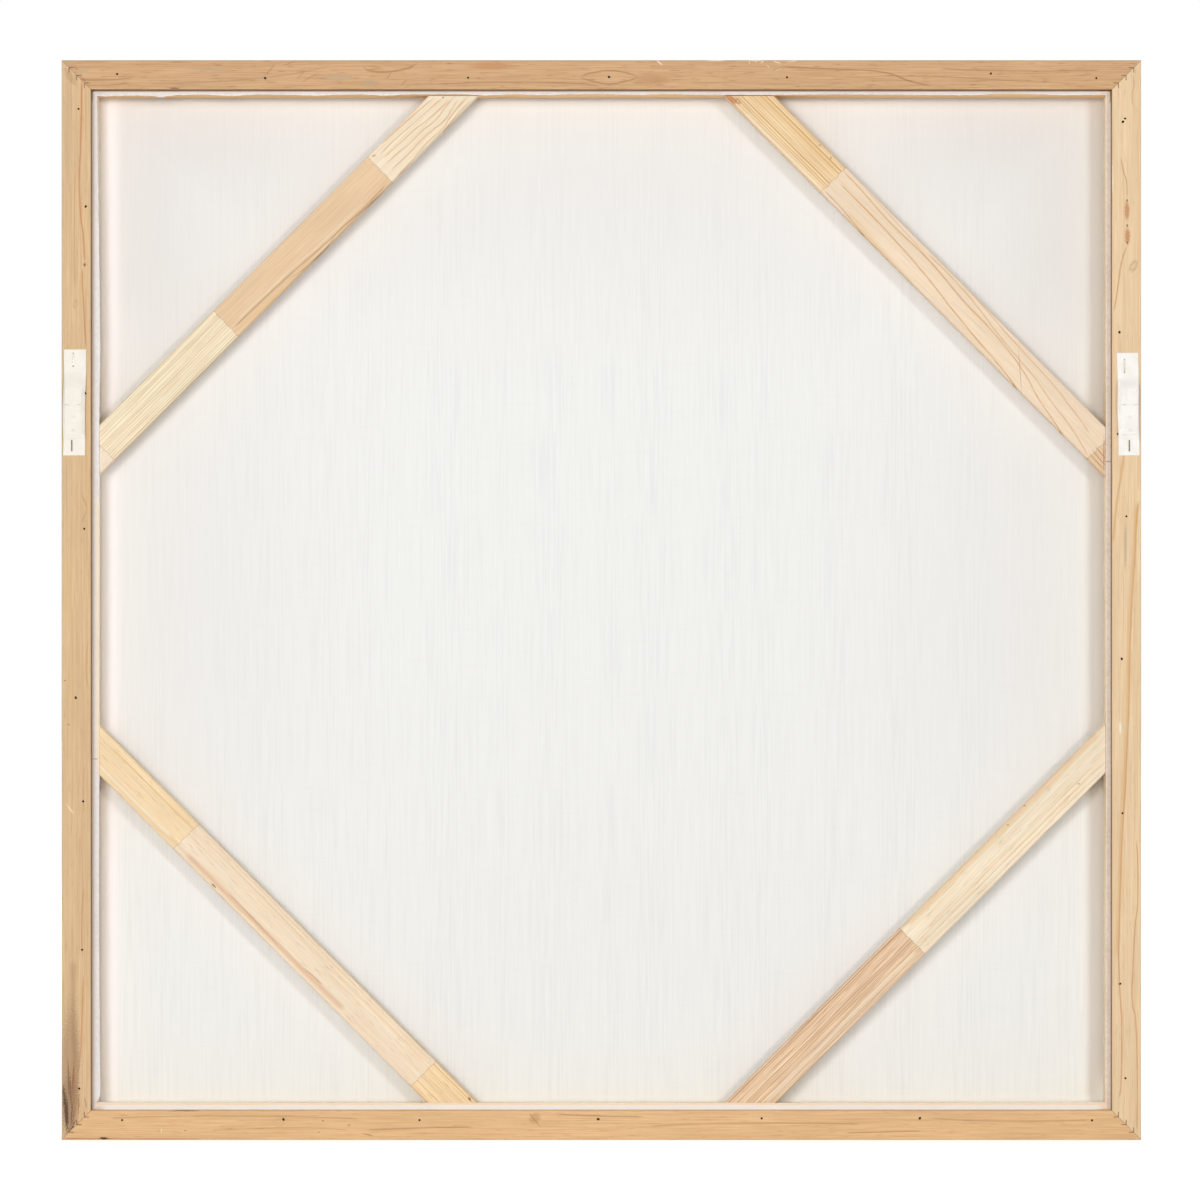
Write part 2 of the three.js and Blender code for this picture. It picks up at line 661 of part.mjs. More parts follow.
// A closed solid through rings of points that lie one after another, each ring with as many points
function loft(rings) {
  const count = rings[0].length;
  const index = [];
  for (let i = 0; i < rings.length - 1; i += 1) {
    for (let j = 0; j < count; j += 1) {
      const a = i * count + j;
      const b = i * count + (j + 1) % count;
      index.push(a, b + count, b, a, a + count, b + count);
    }
  }
  const last = (rings.length - 1) * count;
  for (let j = 1; j < count - 1; j += 1) {
    index.push(0, j, j + 1, last, last + j + 1, last + j);
  }
  const geometry = new THREE.BufferGeometry();
  geometry.setAttribute('position', new THREE.Float32BufferAttribute(rings.flat(2), 3));
  geometry.setIndex(index);
  return geometry;
}

function coverStrip(cover) {
  const stations = coverStations(cover);
  const steps = 4;
  const rings = [];
  const addRing = (z, height) => {
    const share = (z + cover.below) / (cover.above + cover.below);
    const centre = THREE.MathUtils.lerp(cover.bottomShift, cover.topShift, share);
    const turn = 2 * Math.PI * share;
    const left = centre - cover.width / 2 + COVER_EDGE_WAVE * Math.sin(COVER_LEFT_WAVES * turn);
    const right = centre + cover.width / 2 + COVER_EDGE_WAVE * Math.cos(COVER_RIGHT_WAVES * turn);
    const outer = height + COVER_THICKNESS;
    rings.push([[left, -height, z], [right, -height, z], [right, -outer, z], [left, -outer, z]]);
  };
  for (let i = 0; i < stations.length - 1; i += 1) {
    for (let j = 0; j < steps; j += 1) {
      const t = j / steps;
      addRing(...[0, 1].map((k) => THREE.MathUtils.lerp(stations[i][k], stations[i + 1][k], t)));
    }
  }
  addRing(...stations.at(-1));
  return loft(rings);
}

function addHanger(name, x) {
  const cover = COVERS[name];
  const hanger = placedGroup(part, x, backPlane, OVERALL_HEIGHT - HANGER_DROP);
  screwDrops.forEach((drop, i) => {
    const group = placedGroup(hanger, 0, 0, -drop);
    addPiece(group, `hanger_screw_${name}_${i === 0 ? 'upper' : 'lower'}`, hangerScrew(), NICKEL);
    addPocket(group, screwPocket());
  });
  for (const [end, [shift, z]] of Object.entries(cover.staples)) {
    const group = placedGroup(hanger, shift, 0, z);
    group.rotation.y = Math.PI / 2;
    const seat = COVER_SEAT_GAP + COVER_THICKNESS + STAPLE_FIT;
    addStaple(group, `cover_staple_${name}_${end}`, COVER_STAPLE_CROWN, COVER_STAPLE_LEG, seat);
  }
  addPiece(hanger, `hanger_strap_${name}`, withPockets(hangerStrap(), hanger), NICKEL);
  const ring = placedGroup(hanger, 0, -eyeHeight, 0);
  ring.rotation.x = -ringRestTilt;
  addPiece(ring, `hanger_ring_${name}`, hangerRing(), NICKEL);
  addPiece(hanger, `hanger_cover_${name}`, withPockets(coverStrip(cover), hanger), COVER_FOAM);
}

addBrads();
addVNails();
addBarStaples();
addHanger('left', HANGER_INSET - OVERALL_WIDTH / 2);
addHanger('right', OVERALL_WIDTH / 2 - HANGER_INSET);
addRails();
addBraces();
addCloth();

export default part;
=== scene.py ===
import math
import random

import bmesh
import bpy
from bpy.props import FloatProperty, FloatVectorProperty, PointerProperty
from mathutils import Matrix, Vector


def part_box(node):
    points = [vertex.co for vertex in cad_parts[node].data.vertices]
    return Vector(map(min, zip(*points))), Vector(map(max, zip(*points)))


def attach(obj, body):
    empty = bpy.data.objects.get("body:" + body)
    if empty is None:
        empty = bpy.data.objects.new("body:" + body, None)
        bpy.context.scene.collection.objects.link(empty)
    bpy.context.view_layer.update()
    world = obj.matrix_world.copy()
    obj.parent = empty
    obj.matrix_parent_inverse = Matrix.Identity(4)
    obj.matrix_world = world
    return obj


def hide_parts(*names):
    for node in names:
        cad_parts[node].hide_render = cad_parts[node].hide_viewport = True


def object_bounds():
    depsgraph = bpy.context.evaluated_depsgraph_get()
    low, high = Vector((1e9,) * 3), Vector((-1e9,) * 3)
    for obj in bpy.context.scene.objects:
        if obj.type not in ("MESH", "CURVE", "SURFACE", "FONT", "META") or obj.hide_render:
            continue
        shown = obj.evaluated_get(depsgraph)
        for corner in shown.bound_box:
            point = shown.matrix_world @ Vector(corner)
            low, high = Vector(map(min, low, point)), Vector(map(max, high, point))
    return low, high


bl_info = {
    "name": "Framed stretched canvas",
    "version": (1, 0, 0),
    "blender": (4, 5, 0),
    "location": "View3D > Sidebar > Canvas",
    "description": "Dresses a canvas in its floater frame: pine, primed cloth, hangers, nails and studio",
    "category": "Object",
}

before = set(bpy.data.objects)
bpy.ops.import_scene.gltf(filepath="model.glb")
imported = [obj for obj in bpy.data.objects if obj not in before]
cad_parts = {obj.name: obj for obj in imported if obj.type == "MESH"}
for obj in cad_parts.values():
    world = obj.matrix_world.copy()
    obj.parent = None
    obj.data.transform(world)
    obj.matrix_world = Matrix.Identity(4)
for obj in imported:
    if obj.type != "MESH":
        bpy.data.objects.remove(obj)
CAD_LOW, CAD_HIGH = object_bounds()
MM = 0.001

# The photograph is 1200 pixels square. A pixel is this many millimetres on the frame's back.
PIXEL = 0.9411
PHOTO_SIZE = 1200
PHOTO_MIDDLE = Vector((601.4, 600.0))
CAMERA_DISTANCE = 5000
MIDDLE = (CAD_LOW + CAD_HIGH) / 2
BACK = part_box("frame_rail_bottom")[0].y

# The frame in millimetres: its outsides, its middle, its height and half its width
LEFT, RIGHT = CAD_LOW.x / MM, CAD_HIGH.x / MM
FOOT, HEAD = CAD_LOW.z / MM, CAD_HIGH.z / MM
MIDDLE_X, MIDDLE_Z = MIDDLE.x / MM, MIDDLE.z / MM
HEIGHT = (CAD_HIGH.z - CAD_LOW.z) / MM
HALF = (CAD_HIGH.x - CAD_LOW.x) / 2 / MM

# The stretcher bars' inner edge, from the outside and from the middle, and the rear leg's, from the middle
BAR_INSET = (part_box("stretcher_bar_bottom")[1].z - CAD_LOW.z) / MM
BAR_REACH = (MIDDLE.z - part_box("stretcher_bar_bottom")[1].z) / MM
LEG_REACH = (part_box("frame_rail_top")[0].z - MIDDLE.z) / MM

# How far the back of the cloth lies behind the frame's back
CLOTH_BEHIND = (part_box("canvas")[0].y - BACK) / MM


def in_photo(pixel, behind=0.0):
    """A place in the photograph as x and z, in millimetres, on a plane so far behind the frame's back."""
    scale = PIXEL * (1 + behind / CAMERA_DISTANCE)
    right = (pixel[0] - PHOTO_MIDDLE.x) * scale
    up = (PHOTO_MIDDLE.y - pixel[1]) * scale
    return Vector((MIDDLE_X + right, MIDDLE_Z + up))


def tone(red, green, blue):
    """A colour written in display values from 0 to 255, as the linear values that a shader takes."""
    def linear(level):
        share = level / 255
        return share / 12.92 if share <= 0.04045 else ((share + 0.055) / 1.055) ** 2.4
    return linear(red), linear(green), linear(blue)


# Finishes


class Finish:
    """A material and short ways of adding nodes to it."""

    def __init__(self, name, roughness, specular=0.3):
        self.material = bpy.data.materials.new(name)
        self.material.use_nodes = True
        self.tree = self.material.node_tree
        self.shader = self.tree.nodes["Principled BSDF"]
        self.shader.inputs["Roughness"].default_value = roughness
        self.shader.inputs["Specular IOR Level"].default_value = specular

    def node(self, kind, **settings):
        node = self.tree.nodes.new("ShaderNode" + kind)
        for setting, value in settings.items():
            setattr(node, setting, value)
        return node

    def feed(self, socket, value):
        """Links a socket to another, or sets it to a plain value."""
        if isinstance(value, bpy.types.NodeSocket):
            self.tree.links.new(value, socket)
        elif hasattr(value, "__len__") and len(value) == 3 and socket.type == "RGBA":
            socket.default_value = (*value, 1)
        else:
            socket.default_value = value

    def calc(self, operation, *values):
        node = self.node("Math", operation=operation)
        for socket, value in zip(node.inputs, values):
            self.feed(socket, value)
        return node.outputs[0]

    def plus(self, first, second):
        return self.calc("ADD", first, second)

    def minus(self, first, second):
        return self.calc("SUBTRACT", first, second)

    def times(self, first, *others):
        for other in others:
            first = self.calc("MULTIPLY", first, other)
        return first

    def vector(self, operation, *values):
        node = self.node("VectorMath", operation=operation)
        for socket, value in zip(node.inputs, values):
            self.feed(socket, value)
        return node.outputs["Value" if operation in {"DOT_PRODUCT", "LENGTH"} else "Vector"]

    def scaled(self, place, by):
        return self.vector("MULTIPLY", place, by)

    def joined(self, x, y, z):
        node = self.node("CombineXYZ")
        for socket, value in zip(node.inputs, (x, y, z)):
            self.feed(socket, value)
        return node.outputs[0]

    def parts(self, place):
        """A place's x, y and z."""
        node = self.node("SeparateXYZ")
        self.feed(node.inputs[0], place)
        return node.outputs

    def noise(self, place, detail=2.0, scale=1.0):
        node = self.node("TexNoise")
        node.inputs["Scale"].default_value = scale
        node.inputs["Detail"].default_value = detail
        self.feed(node.inputs["Vector"], place)
        return node.outputs["Fac"]

    def spread(self, value, low, high, to_low=0.0, to_high=1.0):
        """A smooth change from to_low to to_high while value goes from low to high."""
        node = self.node("MapRange", interpolation_type="SMOOTHSTEP")
        for socket, setting in zip(node.inputs, (value, low, high, to_low, to_high)):
            self.feed(socket, setting)
        return node.outputs["Result"]

    def mixed(self, share, first, second):
        node = self.node("Mix", data_type="RGBA")
        self.feed(node.inputs[0], share)
        self.feed(node.inputs[6], first)
        self.feed(node.inputs[7], second)
        return node.outputs[2]

    def over(self, colour, ink, *change):
        """The colour with ink over it, as much of it as the change says, which reads like that of spread."""
        return self.mixed(self.spread(*change), colour, ink)

    def places(self):
        """The surface's places at rest, in millimetres."""
        node = self.node("TexCoord")
        return self.scaled(node.outputs["Object"], (1 / MM, 1 / MM, 1 / MM))

    def bump(self, height, distance, strength=1.0):
        node = self.node("Bump")
        node.inputs["Strength"].default_value = strength
        node.inputs["Distance"].default_value = distance
        self.feed(node.inputs["Height"], height)
        self.tree.links.new(node.outputs["Normal"], self.shader.inputs["Normal"])

    def colour(self, value):
        self.feed(self.shader.inputs["Base Color"], value)
        return self.material


class Board:
    """A piece of timber: how its length, its width and its depth lie, in millimetres."""

    def __init__(self, node, along):
        low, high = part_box(node)
        self.middle = Vector((low.x + high.x, low.z + high.z)) / 2 / MM
        self.along = Vector(along).normalized()
        self.across = Vector((-self.along.y, self.along.x))
        self.face = low.y / MM
        self.behind = self.face - BACK / MM

    def lay(self, finish):
        """Adds the board's own coordinates to a finish."""
        origin = (self.middle.x, self.face, self.middle.y)
        place = finish.vector("SUBTRACT", finish.places(), origin)
        self.u = finish.vector("DOT_PRODUCT", place, (self.along.x, 0, self.along.y))
        self.v = finish.vector("DOT_PRODUCT", place, (self.across.x, 0, self.across.y))
        self.w = finish.vector("DOT_PRODUCT", place, (0, 1, 0))

    def point(self, pixel):
        """Where a place in the photograph lies along and across the board."""
        offset = in_photo(pixel, self.behind) - self.middle
        return offset.dot(self.along), offset.dot(self.across)


def growth(finish, board, wood, seed):
    """The wood's growth rings, fibres and pores, as a colour and a height."""
    u, v, w = board.u, board.v, board.w

    def stretched(along, across, detail):
        """Noise that runs with the grain, with these rates along and across it."""
        place = finish.joined(finish.calc("MULTIPLY_ADD", u, along, seed), finish.times(v, across),
                              finish.times(w, across))
        return finish.noise(place, detail)

    wander = finish.times(finish.minus(stretched(1 / wood["sway_length"], 0.02, 2), 0.5), 2 * wood["sway"])
    pith_across, pith_depth, pith_slope = wood["pith"]
    sideways = finish.plus(finish.minus(v, pith_across), wander)
    below = finish.calc("MULTIPLY_ADD", u, -pith_slope, finish.minus(w, pith_depth))
    radius = finish.calc("SQRT", finish.plus(finish.times(sideways, sideways), finish.times(below, below)))
    ring = finish.calc("MULTIPLY_ADD", radius, 1 / wood["ring"], seed)
    uneven = finish.noise(finish.joined(finish.times(ring, 0.37), seed, 0.0), 1)
    ring = finish.calc("MULTIPLY_ADD", uneven, 2.5, ring)
    phase = finish.calc("FRACT", ring)
    band = finish.node("TexWhiteNoise", noise_dimensions="1D")
    finish.feed(band.inputs["W"], finish.calc("FLOOR", ring))
    late = finish.times(finish.spread(phase, 0.35, 0.85), finish.spread(phase, 0.86, 1.0, 1.0, 0.0),
                        finish.spread(band.outputs["Value"], 0.0, 1.0, 0.25, 1.0))
    fibre = stretched(0.02, 0.85, 4)
    pores = finish.spread(stretched(0.06, 0.8, 2), 0.58, 0.76, 0.0, wood["pores"])
    clouds = finish.spread(stretched(0.008, 0.06, 5), 0.35, 0.65)
    colour = finish.mixed(clouds, wood["pale"], wood["blush"])
    contrast = wood["contrast"] * bpy.context.scene.canvas_timber.grain_strength
    colour = finish.mixed(finish.times(late, contrast), colour, wood["late"])
    colour = finish.over(colour, wood["late"], fibre, 0.35, 0.7, 0.0, wood["fibre"])
    colour = finish.mixed(pores, colour, wood["dark"])
    return colour, finish.plus(finish.times(late, 0.6), fibre)


# A grain line's two ends fade over this length, and it wavers by this much from side to side
VEIN_FADE = 7.0
VEIN_WAVER = 0.8


def add_vein(finish, board, colour, points, width, ink, strength, soft):
    """Draws one grain line through places in the photograph. It fades over soft millimetres on one side."""
    places = sorted(board.point(point) for point in points)
    first, last = places[0][0], places[-1][0]
    low = min(v for _, v in places) - 1
    span = max(v for _, v in places) + 1 - low
    share = finish.calc("DIVIDE", finish.minus(board.u, first), last - first)
    route = finish.node("FloatCurve")
    curve = route.mapping.curves[0]
    stops = [((u - first) / (last - first), (v - low) / span) for u, v in places]
    curve.points[0].location, curve.points[1].location = stops[0], stops[-1]
    for stop in stops[1:-1]:
        curve.points.new(*stop)
    route.mapping.update()
    finish.feed(route.inputs["Value"], share)
    centre = finish.calc("MULTIPLY_ADD", route.outputs[0], span, low)
    waver = finish.noise(finish.joined(finish.times(board.u, 0.06), board.v, first * 0.1), 1)
    centre = finish.calc("MULTIPLY_ADD", waver, VEIN_WAVER, finish.minus(centre, VEIN_WAVER / 2))
    away = finish.minus(board.v, centre)
    if soft < 0:
        away = finish.times(away, -1.0)
    line = finish.times(
        finish.spread(away, -max(abs(soft), width), 0.0, 0.0, strength),
        finish.spread(away, 0.1 * width, 0.9 * width, 1.0, 0.0),
        finish.spread(board.u, first - VEIN_FADE / 4, first + VEIN_FADE),
        finish.spread(board.u, last - VEIN_FADE, last + VEIN_FADE / 4, 1.0, 0.0))
    return finish.mixed(line, colour, ink)


def add_mark(finish, board, colour, place, rough_edge, at, size, turn, ink, strength, hollow=0.0):
    """A soft spot, streak, chip or knot on the board's back. size is its half length and half width, in
    millimetres. Inside hollow, a share of that size, it stays faint."""
    middle = in_photo(at, board.behind)
    mapping = finish.node("Mapping", vector_type="TEXTURE")
    mapping.inputs["Location"].default_value = (middle.x, middle.y, 0)
    mapping.inputs["Rotation"].default_value = (0, 0, math.radians(turn))
    mapping.inputs["Scale"].default_value = (size[0], size[1], 6)
    finish.feed(mapping.inputs["Vector"], place)
    reach = finish.plus(finish.vector("LENGTH", mapping.outputs[0]), rough_edge)
    mask = finish.spread(reach, 0.45, 1.1, strength, 0.0)
    if hollow:
        mask = finish.times(mask, finish.spread(reach, hollow - 0.35, hollow, 0.15, 1.0))
    return finish.mixed(mask, colour, ink)


def reach_from_middle(finish, place):
    """How far a place lies from the middle of the square, to the nearer side, in millimetres."""
    x, _, z = finish.parts(place)
    sideways = finish.calc("ABSOLUTE", finish.minus(x, MIDDLE_X))
    upwards = finish.calc("ABSOLUTE", finish.minus(z, MIDDLE_Z))
    return finish.calc("MAXIMUM", sideways, upwards)


def timber(name, board, segments, veins=(), marks=(), step=0.2, seed=3.1, crack_shade_strength=0.0):
    """A pine finish. segments are (where one starts in the photograph, its wood), along the board.
    The last argument is how dark the leg's inner face is painted, as painted shade in the crack against the
    cloth."""
    finish = Finish(name, 0.62, 0.25)
    board.lay(finish)
    colour, height = growth(finish, board, segments[0][1], seed)
    # A finger joint steps to and fro across the board, with fingers 5.7 mm wide
    stair = finish.calc("SIGN", finish.calc("SINE", finish.times(board.v, 0.55)))
    for number, (start, wood) in enumerate(segments[1:], 1):
        beyond = finish.minus(finish.calc("MULTIPLY_ADD", stair, step, board.u), board.point(start)[0])
        next_colour, next_height = growth(finish, board, wood, seed + 7.7 * number)
        share = finish.calc("GREATER_THAN", beyond, 0.0)
        colour = finish.mixed(share, colour, next_colour)
        seam = finish.spread(finish.calc("ABSOLUTE", beyond), 0.1, 0.7, 0.28, 0.0)
        colour = finish.mixed(seam, colour, wood["dark"])
        blended = finish.plus(height, finish.times(share, finish.minus(next_height, height)))
        height = finish.minus(blended, seam)
    for line in veins:
        colour = add_vein(finish, board, colour, **line)
    if marks:
        x, _, z = finish.parts(finish.places())
        place = finish.joined(x, z, board.w)
        ragged = finish.noise(finish.scaled(place, (0.7, 0.7, 0.7)), 3)
        rough_edge = finish.times(finish.minus(ragged, 0.5), 1.2)
        for mark in marks:
            colour = add_mark(finish, board, colour, place, rough_edge, **mark)
    # Painted shade on the rear leg's inner face, darkest where it meets the cloth, for the crack's shadow
    if crack_shade_strength:
        reach = reach_from_middle(finish, finish.places())
        crack_shade = finish.spread(reach, LEG_REACH + 0.05, LEG_REACH + 0.25, crack_shade_strength, 0.0)
        crack_shade = finish.times(crack_shade, finish.spread(board.w, 0.1, 1.0))
        colour = finish.mixed(crack_shade, colour, tone(104, 74, 46))
    finish.bump(height, 0.00025, 0.35)
    return finish.colour(colour)


# What the photograph shows of the timber, by its pixels

INKS = {
    "brown": tone(150, 98, 55),
    "dark": tone(70, 46, 32),
    "umber": tone(136, 102, 74),
    "grey": tone(186, 160, 128),
    "rust": tone(192, 122, 76),
    "orange": tone(226, 180, 112),
    "amber": tone(208, 150, 78),
    "tan": tone(212, 160, 116),
    "cream": tone(252, 240, 218),
}


def pine(pale, late, blush=None, **changes):
    """How one piece of pine looks. Colours are display values, pith is across and below in millimetres."""
    blush = blush or [level * 0.965 for level in pale]
    usual = {
        "pale": tone(*pale), "late": tone(*late), "blush": tone(*blush), "dark": INKS["brown"],
        "contrast": 0.55, "fibre": 0.4, "pores": 0.35, "ring": 3.4, "pith": (34, 22, 0.0),
        "sway": 2.4, "sway_length": 130,
    }
    return {**usual, **changes}


def vein(ink, strength, width, *points, soft=0.0):
    """A grain line through places in the photograph. Its width and its soft side are in millimetres."""
    return {"points": points, "width": width, "ink": INKS[ink], "strength": strength, "soft": soft}


def blot(ink, strength, at, size, turn=0.0, hollow=0.0):
    """A mark at a place in the photograph, turned by degrees anticlockwise, as add_mark draws it."""
    return {"at": at, "size": size, "turn": turn, "ink": INKS[ink], "strength": strength, "hollow": hollow}


def streak(ink, strength, width, start, end):
    """A straight mark from one place in the photograph to another."""
    start, end = Vector(start), Vector(end)
    reach = end - start
    turn = math.degrees(math.atan2(-reach.y, reach.x))
    return blot(ink, strength, tuple((start + end) / 2), (reach.length / 2 * PIXEL, width), turn)


TOP_WOOD = pine((218, 176, 133), (182, 134, 88), pith=(20, 46, 0.004), ring=3.8, contrast=0.22, fibre=0.5,
                pores=0.6)
BOTTOM_WOOD = pine((237, 197, 147), (206, 158, 108), pith=(-46, 20, 0.0), ring=2.7, contrast=0.22, fibre=0.5,
                   pores=0.32)
LEFT_WOOD = pine((225, 193, 151), (200, 153, 104), pith=(42, 30, 0.003), ring=4.6, contrast=0.28, fibre=0.4,
                 pores=0.25)
RIGHT_WOOD = pine((240, 213, 174), (216, 172, 124), pith=(-52, 26, 0.0), ring=5.2, contrast=0.25, fibre=0.4,
                  pores=0.2)
# Lit and shaded copies of one pine: the top bar's inner face, facing down, is painted darker, and the bottom,
# left and right ones paler, as the light falls on them
LIT_AND_SHADED_BAR_WOODS = {
    side: pine(pale, late, pith=(30, 60, 0.0), ring=2.6, contrast=0.4) for side, pale, late in (
        ("bottom", (255, 236, 194), (246, 212, 158)), ("right", (255, 239, 202), (240, 204, 156)),
        ("top", (250, 208, 150), (214, 164, 108)), ("left", (254, 242, 220), (246, 218, 182)))
}

